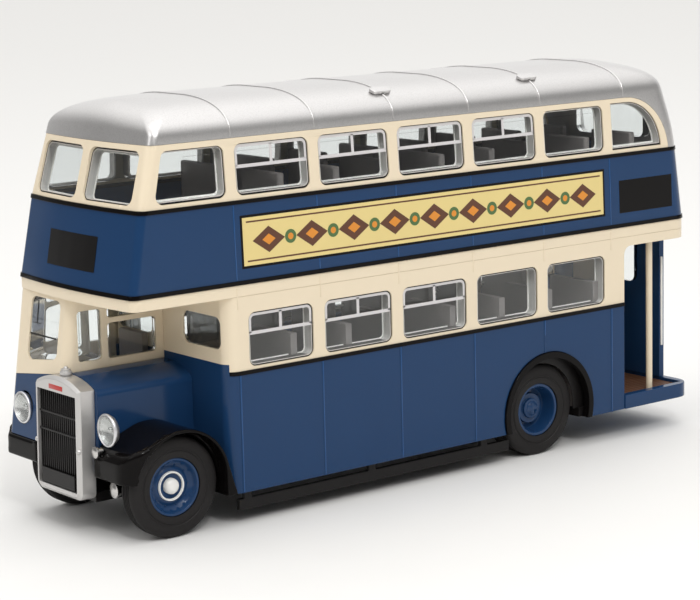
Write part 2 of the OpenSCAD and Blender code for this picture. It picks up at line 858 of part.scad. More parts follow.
// Low vents that sit on two of the seams, at this step of the roof's curve
vent_step = 44;
vent_y = (half_w - cantrail_lean)*(1 - roof_close*roof_in(vent_step));
vent_tilt = 22;
module roof_vents() {
    vent_l = 3.4;
    vent_w = 1.5;
    vent_up = 0.5;
    vent_down = 0.6;
    $fn = 48;
    color(silver)
        for (x = [seams[2], seams[4]], s = [-1, 1])
            difference() {
                translate([x, s*vent_y, roof_up(vent_step)])
                    rotate([-s*vent_tilt, 0, 0])
                        translate([-vent_l/2, -vent_w/2, -vent_down])
                            linear_extrude(vent_up + vent_down)
                                pane_outline(vent_l, vent_w, 0.45*vent_w);
                upper_body(-seat_gap);
                intersection() {
                    upper_body(-seam_proud - seat_gap);
                    seam_slabs(seat_gap);
                }
            }
}

grille_margin = 0.75;
grille_w = radiator_w - 2*grille_margin;
grille_z0 = radiator_z0 + 1;
grille_z1 = radiator_z1 - 0.9;
grille_sink = 0.45;
grille_pocket = radiator_d/2;
module radiator_shell() {
    color(silver) raked() difference() {
        hull() {
            along(radiator_x - radiator_d, radiator_x - radiator_bevel) radiator_outline(0);
            along(radiator_x - thin, radiator_x) radiator_outline(radiator_bevel);
        }
        translate([radiator_x - grille_pocket, -grille_w/2, grille_z0])
            cube([grille_pocket + over, grille_w, grille_z1 - grille_z0]);
    }
}

// Upright slats with two level bars across them
module radiator_grille() {
    slats = 19;
    slat_w = 0.24;
    slat_d = 0.25;
    bar_h = 0.28;
    bar_proud = 0.15;
    // Places of the bars, as shares of the grille's height from its top
    bars = [0.25, 0.44];
    x0 = radiator_x - grille_pocket + seat_gap;
    depth = grille_pocket - seat_gap - grille_sink;
    clear_w = grille_w - 2*seat_gap;
    h = grille_z1 - grille_z0 - 2*seat_gap;
    pitch = (clear_w - slat_w)/(slats - 1);
    color(black) raked() {
        translate([x0, -clear_w/2, grille_z0 + seat_gap])
            cube([depth - slat_d, clear_w, h]);
        for (i = [0:slats - 1])
            translate([x0, -clear_w/2 + i*pitch, grille_z0 + seat_gap])
                cube([depth, slat_w, h]);
        for (b = bars)
            translate([x0, -clear_w/2, grille_z1 - b*h])
                cube([depth + bar_proud, clear_w, bar_h]);
    }
}

module filler_cap() {
    color(silver) on_radiator_top() {
        cylinder(h = filler_h, r = filler_r);
        translate([0, 0, filler_h]) cylinder(h = knob_r, r = filler_r - knob_r/2);
        translate([0, 0, filler_h + knob_r]) sphere(knob_r);
    }
}

module number_plate() {
    plate_w = grille_w - 1.4;
    plate_h = 2.05;
    plate_t = 0.3;
    color(black) raked()
        translate([radiator_x - grille_sink + bearing_gap, -plate_w/2, grille_z0 + 0.15])
            cube([plate_t, plate_w, plate_h]);
}

// Bonnet beside the cab, from the saloon to the radiator, with the radiator's curve as its crown
module bonnet() {
    y0 = cab_side_y + seat_gap;
    z0 = bearing_top_z + seat_gap;
    crown_z = waist_z + bonnet_rise;
    end = asin((bonnet_y - radiator_y - bonnet_r)/(crown_r - bonnet_r));
    steps = 6;
    color(blue) difference() {
        along(bulkhead_x + seat_gap, radiator_x - radiator_d/2)
            intersection() {
                translate([y0, z0]) square([bonnet_y - y0, crown_z - z0]);
                hull() {
                    translate([y0, z0]) square([bonnet_y - y0, 1]);
                    for (i = [0:steps])
                        translate([radiator_y, crown_z - crown_r])
                            rotate(-end*i/steps)
                                translate([0, crown_r - bonnet_r]) circle(bonnet_r);
                }
            }
        // The front end stops behind the leaning radiator
        raked()
            translate([radiator_x - radiator_d - seat_gap, -body_w, 0])
                cube([2*radiator_d, 2*body_w, 2*crown_z]);
    }
}

// Side lamp and fog lamp on the kerb side: columns place, radius, bowl depth
small_lamps_at = [
    [[radiator_x - 1.7, bonnet_y + 1.4, lamp_z - 3.3], 0.8, 0.8],
    [[radiator_x - 3.7, half_w - 6.2, skirt_z + 2.25], 1.05, 0.8]
];
nose_z = tyre_r + 1.5;
foot_back = 0.9;
kerb_nose_x = radiator_x - 1.9;
off_nose_x = radiator_x - 0.25;

// Side outline of a front wing with its nose at x, drawn in X and Z
module wing_outline(nose_x) {
    nose_r = 2.4;
    nose_drop = 2;
    foot_l = 2;
    hull() {
        translate([wing_x, wing_z]) circle(wing_r);
        translate([nose_x - nose_r, wing_z + wing_r - nose_r - nose_drop]) circle(nose_r);
        translate([nose_x - 1, nose_z - over]) square([1, 1 + over]);
        translate([bulkhead_x - foot_back, skirt_z - over]) square([foot_l, over]);
    }
}

// Front wing of side s, drawn on the kerb side, with a round outer nose in plan
module front_wing(s) {
    y_in = s > 0 ? bonnet_y + seat_gap : radiator_w/2 - radiator_y + 2*seat_gap;
    y_out = half_w + wing_proud;
    nose_x = s > 0 ? kerb_nose_x : off_nose_x;
    nose_r = s > 0 ? 3.4 : 1;
    well_in = tyre_y - front_tyre_w - 1.5;
    well_r = tyre_r + wing_gap;
    skin_y = tyre_y + wing_gap;
    hole_r = wing_r - wing_lip;
    on_side(s) difference() {
        intersection() {
            across(y_in, y_out) wing_outline(nose_x + seat_gap);
            translate([0, 0, skirt_z])
                linear_extrude(2*half_w)
                    hull() {
                        translate([bulkhead_x - foot_back, y_in]) square([1, y_out - y_in]);
                        translate([nose_x - 1, y_in]) square([1, 1]);
                        translate([nose_x - nose_r, y_out - nose_r]) circle(nose_r);
                    }
        }
        // The foot laps over the saloon's front corner
        prism(0, floor_z, rear_x, bulkhead_x + seat_gap, half_w + seat_gap,
            front_corner_r + seat_gap, rear_corner_r);
        // Well for the wheel, and the opening in the outer skin
        across_rod(front_axle_x, tyre_r, well_r, well_in, skin_y);
        across_rod(wing_x, wing_z, hole_r, skin_y - over, y_out + over);
        translate([wing_x - hole_r, well_in, 0]) cube([2*hole_r, y_out, wing_z]);
        // The nose ends above the axle, and nothing reaches down inside the wheel
        translate([wing_x, y_in - over, 0]) cube([2*nose_l, y_out, nose_z]);
        translate([bulkhead_x - over, y_in - over, 0])
            cube([2*nose_l, well_in - y_in + over, nose_z]);
        if (s > 0) {
            lamp_room(kerb_lamp, lamp_r, lamp_bowl);
            for (l = small_lamps_at) lamp_room(l[0], l[1], l[2]);
        } else
            // The cab stands on the wing, whose flange covers the panel's arch
            translate([bulkhead_x - over, 0, cab_z - seat_gap])
                cube([2*nose_l, half_w + seat_gap, 2*half_w]);
    }
}

module front_wings() {
    color(black)
        for (s = [-1, 1]) front_wing(s);
}

module rear_arch_lips() {
    lip_proud = 0.35;
    color(black)
        for (s = [-1, 1])
            on_side(s) difference() {
                across_rod(arch_x, tyre_r, arch_r - seat_gap, inner_y, half_w + lip_proud);
                across_rod(arch_x, tyre_r, arch_r - lip_w, inner_y - over, half_w + over);
                translate([arch_x - 2*arch_r, inner_y - over, skirt_z - 2*arch_r])
                    cube([4*arch_r, wall + 3*over, 2*arch_r]);
            }
}

// Bowl with a rim and a domed glass, facing forwards from the origin
module lamp(r, bowl) {
    rim_h = 0.35;
    dome_r = 1.88*r;
    dome_drop = 1.6*r;
    rotate([0, 90, 0])
        rotate_extrude() {
            translate([0, -bowl]) square([0.55*r, bowl]);
            translate([0, -0.6*bowl]) square([0.85*r, 0.6*bowl]);
            square([r, rim_h]);
            intersection() {
                translate([0, rim_h/2]) square(r);
                translate([0, rim_h - dome_drop]) circle(dome_r);
            }
        }
}

module headlamps() {
    color(silver)
        for (place = [kerb_lamp, off_lamp]) translate(place) lamp(lamp_r, lamp_bowl);
}

module small_lamps() {
    fog = small_lamps_at[1];
    stalk_r = 0.25;
    color(silver) {
        for (l = small_lamps_at)
            translate(l[0]) lamp(l[1], l[2]);
        // Stalk from the fog lamp up to the wing
        translate(fog[0] - [fog[2]/2, 0, 0])
            cylinder(h = nose_z - seat_gap - fog[0][2], r = stalk_r);
    }
}

// Clear inserts of the saloon: a sheet inside each wall with a pane in each window
module lower_glazing() {
    gap = seat_gap;
    margin = 0.5;
    sheet_z0 = bead_z1 + 0.1;
    sheet_z1 = low_win_z1 + margin;
    front_x = bulkhead_x - wall - gap;
    front_y = half_w - front_corner_r;
    color(clear) {
        for (side = [[1, kerb_bays], [-1, len(low_bays)]])
            on_side(side[0]) {
                x0 = low_bays[side[1] - 1][0] - margin;
                translate([x0, inner_y - gap - glass_t, sheet_z0])
                    cube([first_bay_x - first_win_trim + margin - x0, glass_t, sheet_z1 - sheet_z0]);
                across(inner_y - gap - glass_t/2, half_w - pane_recess) low_panes(side[1], -gap);
            }
        translate([front_x - glass_t, -front_y, front_win_z0 - margin])
            cube([glass_t, 2*front_y, front_win_z1 - front_win_z0 + 2*margin]);
        along(front_x - glass_t/2, bulkhead_x - pane_recess) bulkhead_panes(-gap);
        along(rear_x + pane_recess, rear_x + wall + glass_t) rear_panes(-gap);
    }
}

module cab_glazing() {
    gap = seat_gap;
    color(clear) {
        // Windscreen, lying in the sloping front
        intersection() {
            along(cab_top_x - 4*wall, cab_front_x) screen_pane(-gap);
            difference() {
                hull() {
                    cab_station(split_z, pane_recess);
                    cab_station(floor_z - thin, pane_recess);
                }
                hull() {
                    cab_station(split_z - over, cab_wall + glass_t);
                    cab_station(floor_z + over, cab_wall + glass_t);
                }
            }
        }
        across(cab_side_y - cab_wall - glass_t/2, cab_side_y - pane_recess) cab_side_panes(-gap);
        across(-half_w + pane_recess, -half_w + cab_wall + glass_t/2) cab_side_panes(-gap);
    }
}

// Clear inserts of the upper deck, in the leaning sides, the front and the rear
module upper_glazing() {
    gap = seat_gap;
    margin = 0.35;
    color(clear) {
        for (s = [-1, 1]) {
            on_upper_side(s, pane_recess, wall + glass_t) up_panes(-2*gap);
            on_upper_side(s, wall + gap, wall + gap + glass_t)
                translate([rear_quarter_x, up_sill + margin])
                    square([front_quarter_x + front_quarter_w/2 - rear_quarter_x, up_pane_h - 4*margin]);
            on_upper_front(s, pane_recess, wall + glass_t) front_pane(s, -2*gap);
        }
        along(deck_top_rear_x + 0.75*tail_lean, deck_top_rear_x + 1.5*tail_sweep) rear_screen(-gap);
    }
}

// Bench whose back is to the rear, drawn from its rear foot
module bench(w, h, seat_h) {
    back_t = 1.1;
    depth = 5.2;
    cube([depth, w, seat_h]);
    cube([back_t, w, h]);
}

// Rows of benches on side s of the gangway, on one moulded sheet from x0 to x1
module seat_rows(s, z0, back_z, x0, x1, y_side) {
    sheet = 0.6;
    sheet_gap = 0.03;
    bench_w = y_side - gangway_w/2;
    rows = floor((x1 - x0)/seat_pitch);
    seat_h = (back_z - z0)/2;
    on_side(s) {
        translate([x0 - 1, sheet_gap, z0]) cube([rows*seat_pitch + 1, y_side - sheet_gap, sheet]);
        for (i = [0:rows - 1])
            translate([x0 + i*seat_pitch, y_side - bench_w, z0])
                bench(bench_w, back_z - z0, seat_h);
    }
}

low_seat_side = inner_y - glass_t - 3*seat_gap;
first_seat_gap = 4.5;
// Seats of side s of the lower saloon, with boxes over the rear wheels clear of the tyres
module lower_seats(s) {
    front_x = bulkhead_x - wall - glass_t - 2*seat_gap;
    color(grey) difference() {
        seat_rows(s, base_z + seat_gap, waist_z + low_seat_show, entry_x + first_seat_gap, front_x,
            low_seat_side);
        across_rod(rear_axle_x, tyre_r, tyre_r + arch_gap - lip_w, -half_w, half_w);
        screw_holes(screw_r + 0.3);
    }
}
module lower_seats_kerb() lower_seats(1);
module lower_seats_off() lower_seats(-1);

module upper_seats() {
    side = half_w - cantrail_lean - wall - glass_t - 2.5*seat_gap;
    color(grey)
        for (s = [-1, 1])
            seat_rows(s, floor_top_z + seat_gap, belt_top_z + up_seat_show, entry_x - first_seat_gap,
                bulkhead_x, side);
}

// Driver's floor, seat and steering wheel
module cab_interior() {
    deck_z = waist_z - 5.2;
    deck_t = 0.6;
    deck_l = nose_l - 6.3;
    x0 = bulkhead_x + 2*seat_gap;
    y0 = -inner_y;
    seat_x = x0 + 0.4;
    seat_y = y0 + 3;
    seat_l = 4.5;
    seat_w = 6;
    seat_h = 4;
    back_t = 1;
    back_h = 8.6;
    column_x = seat_x + 9.2;
    column_l = 6.4;
    column_r = 0.3;
    column_lean = 28;
    wheel_r = 2.3;
    ring_r = 0.25;
    spoke_w = 0.4;
    color(grey) {
        translate([x0, y0, deck_z]) cube([deck_l, inner_y + cab_side_y - wall, deck_t]);
        translate([seat_x, seat_y, deck_z]) cube([seat_l, seat_w, seat_h]);
        translate([seat_x, seat_y, deck_z]) cube([back_t, seat_w, back_h]);
        translate([column_x, seat_y + seat_w/2, deck_z])
            rotate([0, -column_lean, 0]) {
                cylinder(h = column_l, r = column_r);
                translate([0, 0, column_l - ring_r]) {
                    rotate_extrude() translate([wheel_r, 0]) circle(ring_r);
                    for (a = [0, 120, 240])
                        rotate(a) translate([0, -spoke_w/2, -ring_r/2]) cube([wheel_r, spoke_w, ring_r]);
                }
            }
    }
}

// Wall between the saloon and the platform, with the doorway
module saloon_partition() {
    door_w = gangway_w + 0.9;
    door_head = 3;
    lift = 0.4;
    y = low_seat_side;
    h = floor_z - platform_floor_z;
    color(cream) translate([entry_x, 0, platform_floor_z]) difference() {
        translate([0, -y, lift]) cube([wall, 2*y, h - lift - seat_gap]);
        translate([-over, -door_w/2, 0]) cube([wall + 2*over, door_w, h - door_head]);
    }
}

platform_x = rear_x - platform_proud;
platform_w = half_w + 0.2;
// Platform with a raised edge round its floor
module platform_step() {
    color(blue) difference() {
        intersection() {
            prism(skirt_z, platform_z, platform_x, bulkhead_x, platform_w, front_corner_r, rear_corner_r);
            translate([platform_x - over, -body_w, 0])
                cube([entry_x - seat_gap - platform_x + over, 2*body_w, 2*platform_z]);
        }
        translate([platform_x + platform_edge, -half_w + platform_edge, platform_floor_z])
            cube([entry_x - platform_x, half_w + platform_w - 2*platform_edge, platform_z]);
    }
}

mat_h = 0.3;
module platform_floor() {
    edge = platform_edge + seat_gap;
    color(brown)
        translate([platform_x + edge, -half_w + edge, platform_floor_z + seat_gap/2])
            cube([entry_x - seat_gap - platform_x - edge, half_w + platform_w - 2*edge, mat_h]);
}

pole_x = entry_x - 7.45;
pole_y = half_w - 2;
module platform_pole() {
    z0 = platform_floor_z + mat_h + seat_gap;
    color(cream) translate([pole_x, pole_y, z0]) cylinder(h = floor_z - seat_gap - z0, r = pole_r);
}

// Two upright holes in line along the base
screw_x = 8;
module screw_holes(r) {
    for (s = [-1, 1])
        translate([screw_x + s*screw_pitch/2, 0, skirt_z - over]) cylinder(h = 2*base_z, r = r);
}

// Block that carries an axle, from the base's underside up
module bearing(x, w) {
    block_l = 5;
    translate([x - block_l/2, -w/2, skirt_z]) cube([block_l, w, bearing_top_z - skirt_z]);
}

front_bearing_w = 10.4;
rear_bearing_w = 12;
module chassis_base() {
    back_x = entry_x + 2*seat_gap;
    well = 2*(tyre_r + arch_gap - lip_w);
    nose_x0 = bulkhead_x - wall - over;
    nose_x1 = radiator_x - radiator_d - 4*seat_gap;
    color(black) difference() {
        union() {
            prism(skirt_z, base_z, back_x, bulkhead_x - wall - seat_gap, inner_y - seat_gap,
                front_corner_r - wall, front_corner_r/4);
            translate([nose_x0, -base_nose_w/2, skirt_z])
                cube([nose_x1 - nose_x0, base_nose_w, base_h]);
            bearing(rear_axle_x, rear_bearing_w);
            bearing(front_axle_x, front_bearing_w);
        }
        for (s = [-1, 1])
            on_side(s)
                translate([rear_axle_x - well/2, rear_bearing_w/2, skirt_z - over])
                    cube([well, half_w, 2*base_z]);
        for (x = [rear_axle_x, front_axle_x])
            across_rod(x, tyre_r, axle_r + bearing_gap, -half_w, half_w);
        screw_holes(screw_r);
    }
}

// Rails between the wheels, hung from the base by straps
module side_rails() {
    rail_x0 = arch_x + arch_r - 1.65;
    rail_x1 = bulkhead_x - 1.8;
    rail_z0 = skirt_z - 2.7;
    rail_h = 1.6;
    rail_t = 0.7;
    strap_w = 1.3;
    // Places of the straps, as shares of the rail's length
    straps = [0.1, 0.53, 0.97];
    y = inner_y - rail_t;
    color(black)
        for (s = [-1, 1])
            on_side(s) {
                translate([rail_x0, y, rail_z0]) cube([rail_x1 - rail_x0, rail_t, rail_h]);
                for (p = straps)
                    translate([rail_x0 + p*(rail_x1 - rail_x0) - strap_w/2, y, rail_z0])
                        cube([strap_w, rail_t, skirt_z - seat_gap - rail_z0]);
            }
}

hub_face = tyre_y - 0.3;
front_boss = 1.2;
rear_boss = 1.5;

// Steel axle from hub to hub
module axle(x, reach) {
    color(steel) across_rod(x, tyre_r, axle_r, -reach, reach);
}
module front_axle() axle(front_axle_x, hub_face - front_boss);
module rear_axle() axle(rear_axle_x, hub_face - rear_boss - seat_gap);

// Tyre with rounded shoulders on side s of axle x, and a hole for its rim
module tyre(s, x, w) {
    shoulder = 0.7;
    bead_r = rim_r + seat_gap;
    translate([x, s*tyre_y, tyre_r])
        rotate([s*90, 0, 0])
            rotate_extrude() {
                translate([bead_r, 0]) square([tyre_r - shoulder - bead_r, w]);
                translate([tyre_r - 2*shoulder, shoulder]) square([2*shoulder, w - 2*shoulder]);
                for (z = [shoulder, w - shoulder]) translate([tyre_r - shoulder, z]) circle(shoulder);
            }
}

// Hub of a wheel on side s: profile columns are radius and depth from the outer face
module hub(s, x, profile) {
    translate([x, s*hub_face, tyre_r])
        rotate([s*90, 0, 0])
            rotate_extrude()
                polygon(profile);
}

// Dished front hub, raised in its middle, on the axle's end
front_hub_back = front_tyre_w - 0.4;
front_hub_profile = [
    [axle_r, front_boss], [2.3, 0.9], [2.8, 1.2], [rim_r - 0.7, 0.9], [rim_r - 0.35, 0], [rim_r, 0],
    [rim_r, front_hub_back], [axle_r, front_hub_back]
];
// Deep rear hub with a stepped boss, closed over the axle's end
rear_hub_back = rear_tyre_w - 0.4;
rear_hub_profile = [
    [0, 0.95], [0.8, 1], [1.2, 1.3], [1.5, 1.3], [1.5, 1.7], [2.3, 1.7], [2.3, 2.4], [rim_r - 0.8, 2.4],
    [rim_r - 0.45, 0], [rim_r, 0], [rim_r, rear_hub_back], [axle_r, rear_hub_back], [axle_r, rear_boss],
    [0, rear_boss]
];

module front_hubs() {
    color(blue) for (s = [-1, 1]) hub(s, front_axle_x, front_hub_profile);
}

module rear_hubs() {
    color(blue) for (s = [-1, 1]) hub(s, rear_axle_x, rear_hub_profile);
}

// White cap and ring on each front hub
module front_hub_caps() {
    cap_r = 1.15;
    ring_r0 = 1.6;
    ring_r1 = 2.05;
    cap_foot = 1.1;
    ring_foot = 0.9;
    color("white")
        for (s = [-1, 1])
            translate([front_axle_x, s*hub_face, tyre_r])
                rotate([s*90, 0, 0])
                    rotate_extrude() {
                        translate([0, 0.1]) square([cap_r, cap_foot - 0.1]);
                        translate([ring_r0, 0.4]) square([ring_r1 - ring_r0, ring_foot - 0.4]);
                    }
}

module front_tyres() {
    color(black) for (s = [-1, 1]) tyre(s, front_axle_x, front_tyre_w);
}

module rear_tyres() {
    color(black) for (s = [-1, 1]) tyre(s, rear_axle_x, rear_tyre_w);
}

lower_panels();
lower_window_band();
cab_panels();
cab_window_frame();
upper_floor();
beading();
upper_belt();
upper_window_band();
roof();
roof_vents();
bonnet();
radiator_shell();
radiator_grille();
filler_cap();
number_plate();
front_wings();
rear_arch_lips();
headlamps();
small_lamps();
lower_glazing();
cab_glazing();
upper_glazing();
lower_seats_kerb();
lower_seats_off();
upper_seats();
cab_interior();
saloon_partition();
platform_step();
platform_floor();
platform_pole();
chassis_base();
side_rails();
front_axle();
front_hubs();
front_hub_caps();
front_tyres();
rear_axle();
rear_hubs();
rear_tyres();
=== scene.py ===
"""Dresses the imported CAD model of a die-cast half-cab double deck bus: paints, glazing, tyres and trim."""

import json
import math

import bpy
from bpy.props import FloatProperty, FloatVectorProperty, IntProperty, PointerProperty
from mathutils import Matrix, Vector

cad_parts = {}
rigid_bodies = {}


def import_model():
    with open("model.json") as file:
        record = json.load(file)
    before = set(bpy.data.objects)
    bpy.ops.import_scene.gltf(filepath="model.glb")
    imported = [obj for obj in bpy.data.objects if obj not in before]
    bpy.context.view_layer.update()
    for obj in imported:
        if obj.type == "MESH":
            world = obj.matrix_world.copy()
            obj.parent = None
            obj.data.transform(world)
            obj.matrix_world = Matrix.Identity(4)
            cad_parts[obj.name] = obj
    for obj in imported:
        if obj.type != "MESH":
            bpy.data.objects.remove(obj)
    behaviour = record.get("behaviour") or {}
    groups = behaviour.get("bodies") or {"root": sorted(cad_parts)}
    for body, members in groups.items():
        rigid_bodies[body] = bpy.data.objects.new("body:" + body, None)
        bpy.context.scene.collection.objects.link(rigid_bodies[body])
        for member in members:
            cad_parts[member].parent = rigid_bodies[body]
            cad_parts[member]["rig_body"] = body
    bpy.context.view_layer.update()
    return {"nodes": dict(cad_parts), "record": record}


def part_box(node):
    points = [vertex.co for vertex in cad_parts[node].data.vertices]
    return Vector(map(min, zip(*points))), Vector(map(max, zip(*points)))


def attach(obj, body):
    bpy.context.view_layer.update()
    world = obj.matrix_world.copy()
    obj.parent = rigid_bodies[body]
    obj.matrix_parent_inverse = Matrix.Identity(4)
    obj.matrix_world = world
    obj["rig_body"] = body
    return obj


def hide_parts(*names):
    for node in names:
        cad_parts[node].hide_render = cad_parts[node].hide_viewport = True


bl_info = {
    "name": "Die-cast double deck bus",
    "version": (1, 0, 0),
    "blender": (4, 5, 0),
    "location": "View3D > Sidebar > Bus",
    "description": "Finishes and trim for a packed model of a half-cab double deck bus",
    "category": "Object",
}

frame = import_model()

MM = 0.001
BUS, FRONT, REAR = "bus_body", "front_wheels", "rear_wheels"
# Planes and lines of the CAD body, in millimetres
HALF_W = 14.6
BELT_Z, BELT_H, BELT_LEAN = 33.5, 10.85, 0.38
BELT_TOP_Z, BAND_H, BAND_LEAN = 44.35, 8.7, 0.64
# Panes: how far they lie in, how far their edges stand out of them, and the width of the gap round them, which is
# painted black as shade
PANE_RECESS, PANE_PROUD, PANE_GAP = 0.22, 0.01, 0.19
# How deep the inserts of the lower and the upper deck reach in
LOW_PANE_DEPTH, UP_PANE_DEPTH = 2.1, 1.9
FIRST_BAY_X, BAY_PITCH = 33.06, 13.97
# Windows: length, lower edge and height, corner radius, and height of a printed frame's level bar
LOW_SIZE, UP_SIZE, WINDOW_R = (11.97, 21.85, 7.45), (12.26, 0.8, 6.97), 1.06
LOW_BAR_Z, UP_BAR_Z, UP_FIRST_X = 26.42, 4.7, FIRST_BAY_X - 0.2
# Windows that carry a printed frame, from their front edge. The first lower one is shorter
LOW_WINDOWS = [(FIRST_BAY_X - 1.05, 10.92, *LOW_SIZE[1:], LOW_BAR_Z)]
LOW_WINDOWS += [(FIRST_BAY_X - i * BAY_PITCH, *LOW_SIZE, LOW_BAR_Z) for i in (1, 2)]
UP_WINDOWS = [(UP_FIRST_X - i * BAY_PITCH, *UP_SIZE, UP_BAR_Z) for i in range(4)]
# Other windows that show the cut edge of their clear insert
LOW_PLAIN = [(FIRST_BAY_X - i * BAY_PITCH, *LOW_SIZE) for i in (3, 4)]
LOW_OFF_ONLY = (FIRST_BAY_X - 5 * BAY_PITCH, *LOW_SIZE)
UP_PLAIN = [(UP_FIRST_X - 4 * BAY_PITCH, *UP_SIZE)]
# Front quarter light of the upper deck as corners, and the middle, radius and front edge of the rear one
UP_FRONT_QUARTER = [(34.57, 0.8), (46.3, 0.8), (44.55, 7.77), (34.57, 7.77)]
UP_REAR_QUARTER = ((-40.4, 0.8), 7.1, -36.99)
# Roof: foot, height, power and end angle of its curve
CANTRAIL_Z, ROOF_H, ROOF_POWER, ROOF_END = 53.05, 5.05, 0.8, 82
# Upper deck: its ends, how far front and tail run in up to the roof, and the bow of the front
DECK_FRONT_X, DECK_REAR_X = 48.3, -52.2
BAND_RAKE, TAIL_SWEEP, FRONT_BOW = 2.55, 1.7, 0.85
# How far the roof's ends run in up to the crown, how much its sides close, and what its corner radii gain
ROOF_FRONT_RUN, ROOF_REAR_RUN = 8.0, 9.0
ROOF_CLOSE, ROOF_FRONT_R, ROOF_REAR_R = 0.96, 9.0, 8.0
# Corner radii of the upper deck at its foot, and its wall
FRONT_R, REAR_R, WALL = 1.2, 3.0, 1.0
# Top of the window band, top bead of the belt, and the round end of the band at the rear
BAND_TOP_Z, TOP_BEAD_Z = 52.94, 44.625
QUARTER_X, QUARTER_R = -40.4, 8.64
REAR_AXLE_X, TYRE_R = -22.1, 6.95
# Opening of the upper rear screen: sides, lower and upper edge, corner radius, and its place along the roof
REAR_SCREEN, REAR_SCREEN_R, REAR_SCREEN_X = (-7.5, 7.5, 45.6, 51.2), 1.1, -51.5
# Upper front panes: inner and outer edge, lower edge, height, and the slope and turn of their plane in degrees
FRONT_PANE = (0.95, 11.92, 0.834, 7.242)
FRONT_RAKE, FRONT_TURN = 16.33, 3.33
# Places and radius of the roof's seams
SEAMS_X, SEAM_R = [FIRST_BAY_X + 0.2 - i * BAY_PITCH for i in range(5)] + [-39.8], 0.17
# Cover strips: places along the side, feet and top of the lower ones and their face, ends of the cream ones
STRIPS_X = [FIRST_BAY_X + 0.6 - i * BAY_PITCH for i in range(6)]
LOW_STRIPS_Z, WAIST_Z, LOW_STRIP_Y = [4.8, 4.8, 4.8, 4.8, 18.6, 4.8], 20.88, 14.7
CREAM_STRIP_Z = (29.9, 32.9)
# Ends of the printed panel on the belt
PRINT_X, PRINT_Z = (-35.0, 32.7), (35.3, 42.5)
# Blank displays: two ends, lower and upper edge, from the belt's foot on the side and from the ground in front
SIDE_DISPLAY, FRONT_DISPLAY = (-49.5, -38.1, 35.4 - BELT_Z, 40.4 - BELT_Z), (-6.1, 5.9, 36.0, 40.7)
# Handrail: ends along and in height, and its middle across. Cab corner: ends along
HANDRAIL, HANDRAIL_Y, CAB_CORNER_X = (-53.0, -52.62, 12.0, 26.4), 9.06, (33.3, 35.66)
# Middle of the radiator's foot, and its backward slope in degrees
RADIATOR_FOOT = (53.9, -0.5, 5.2)
RADIATOR_RAKE = 1.6
# Headlamps: middle of the rim, kerb side and off side
HEADLAMPS = [(51.7, 9.6, 15.5), (52.81, -10.6, 15.5)]


def linear(hex_colour):
    """Linear RGBA of an sRGB hex value."""
    channels = [int(hex_colour[i:i + 2], 16) / 255 for i in (1, 3, 5)]
    return tuple(c / 12.92 if c <= 0.04045 else ((c + 0.055) / 1.055) ** 2.4 for c in channels) + (1.0,)


def tint(colour, factor):
    """A colour made darker or lighter, with its alpha kept."""
    return tuple(min(1.0, c * factor) for c in colour[:3]) + (1.0,)


def colour_prop(name, description, hex_colour):
    """A colour that the user can change, given as sRGB hex."""
    return FloatVectorProperty(name=name, description=description, subtype="COLOR", size=4, min=0, max=1,
                               default=linear(hex_colour))


def length_prop(name, description, millimetres):
    """A length that the user can change, given in millimetres."""
    return FloatProperty(name=name, description=description, subtype="DISTANCE", unit="LENGTH", min=0,
                         precision=5, default=millimetres * MM)


class BusColours(bpy.types.PropertyGroup):
    """Colours of the bus and of the floor under it"""

    # The blue is also made 1.9 times lighter for the painted highlight on the raised cover strips
    blue: colour_prop("Blue", "Enamel of the panels, belt, bonnet, platform and hubs", "#1B3A60")
    cream: colour_prop("Cream", "Enamel of the window bands and of the cab", "#E6D7BD")
    black: colour_prop("Black", "Enamel of the wings, arches and beads, and black print", "#0D0B0B")
    silver: colour_prop("Silver", "Lacquer of the roof", "#D9D7D6")
    plating: colour_prop("Plating", "Radiator shell and lamps", "#C8C6C4")
    plastic: colour_prop("Black plastic", "Base, rails, grille, plate, arch liners and wiper", "#151313")
    glass: colour_prop("Glazing", "Clear inserts", "#F6F9F9")
    # The pane-edge colour is also made 1.7 times lighter for the painted highlight on the rims, and 0.13 as dark for
    # the painted shade on the sills
    pane_edge: colour_prop("Pane edges", "Cut edges, rims and sills of the clear inserts", "#C9C5C1")
    seats: colour_prop("Seats", "Moulded seats", "#7E7775")
    floor_brown: colour_prop("Platform floor", "Ribbed floor of the platform", "#5A3A25")
    steel: colour_prop("Steel", "Axles", "#BDBDBF")
    hub_white: colour_prop("White", "Rings and caps of the front wheels, and the handrail", "#EFEEEA")
    rubber: colour_prop("Rubber", "Tyres", "#1E1C1C")
    print_white: colour_prop("White print", "Printed window frames", "#CFCCCC")
    print_yellow: colour_prop("Yellow print", "Ground of the side panels", "#E0CB87")
    print_brown: colour_prop("Brown print", "Lozenges and rules of the side panels", "#5B3520")
    print_green: colour_prop("Green print", "Roundels of the side panels", "#4C6B3C")
    print_orange: colour_prop("Orange print", "Middles of the lozenges and roundels", "#D98A2B")
    badge_red: colour_prop("Red", "Plain bar on the radiator", "#B5322C")
    stage: colour_prop("Floor", "Floor under the model", "#E4E3E1")


class BusSizes(bpy.types.PropertyGroup):
    """Sizes of what the scene adds to the CAD model"""

    edge: length_prop("Edge", "Rounding of painted edges", 0.1)
    seat_edge: length_prop("Seat edge", "Rounding of the moulded seats", 0.4)
    groove: length_prop("Groove", "Depth of a tyre's tread grooves", 0.22)
    front_tyre: length_prop("Front tyre", "Width of a front tyre", 3.0)
    rear_tyre: length_prop("Rear tyre", "Width of a rear twin tyre", 4.6)
    print_lift: length_prop("Print", "Thickness of a layer of print", 0.03)
    frame_w: length_prop("Frame", "Width of a printed window frame", 0.36)
    bar_h: length_prop("Bar", "Height of a printed window bar", 0.46)
    nuts: IntProperty(name="Nuts", description="Nuts on each wheel", default=10, min=4, max=16)


def sizes():
    """The size settings of the scene."""
    return bpy.context.scene.bus_sizes


def colours():
    """The colour settings of the scene."""
    return bpy.context.scene.bus_colours


# Materials

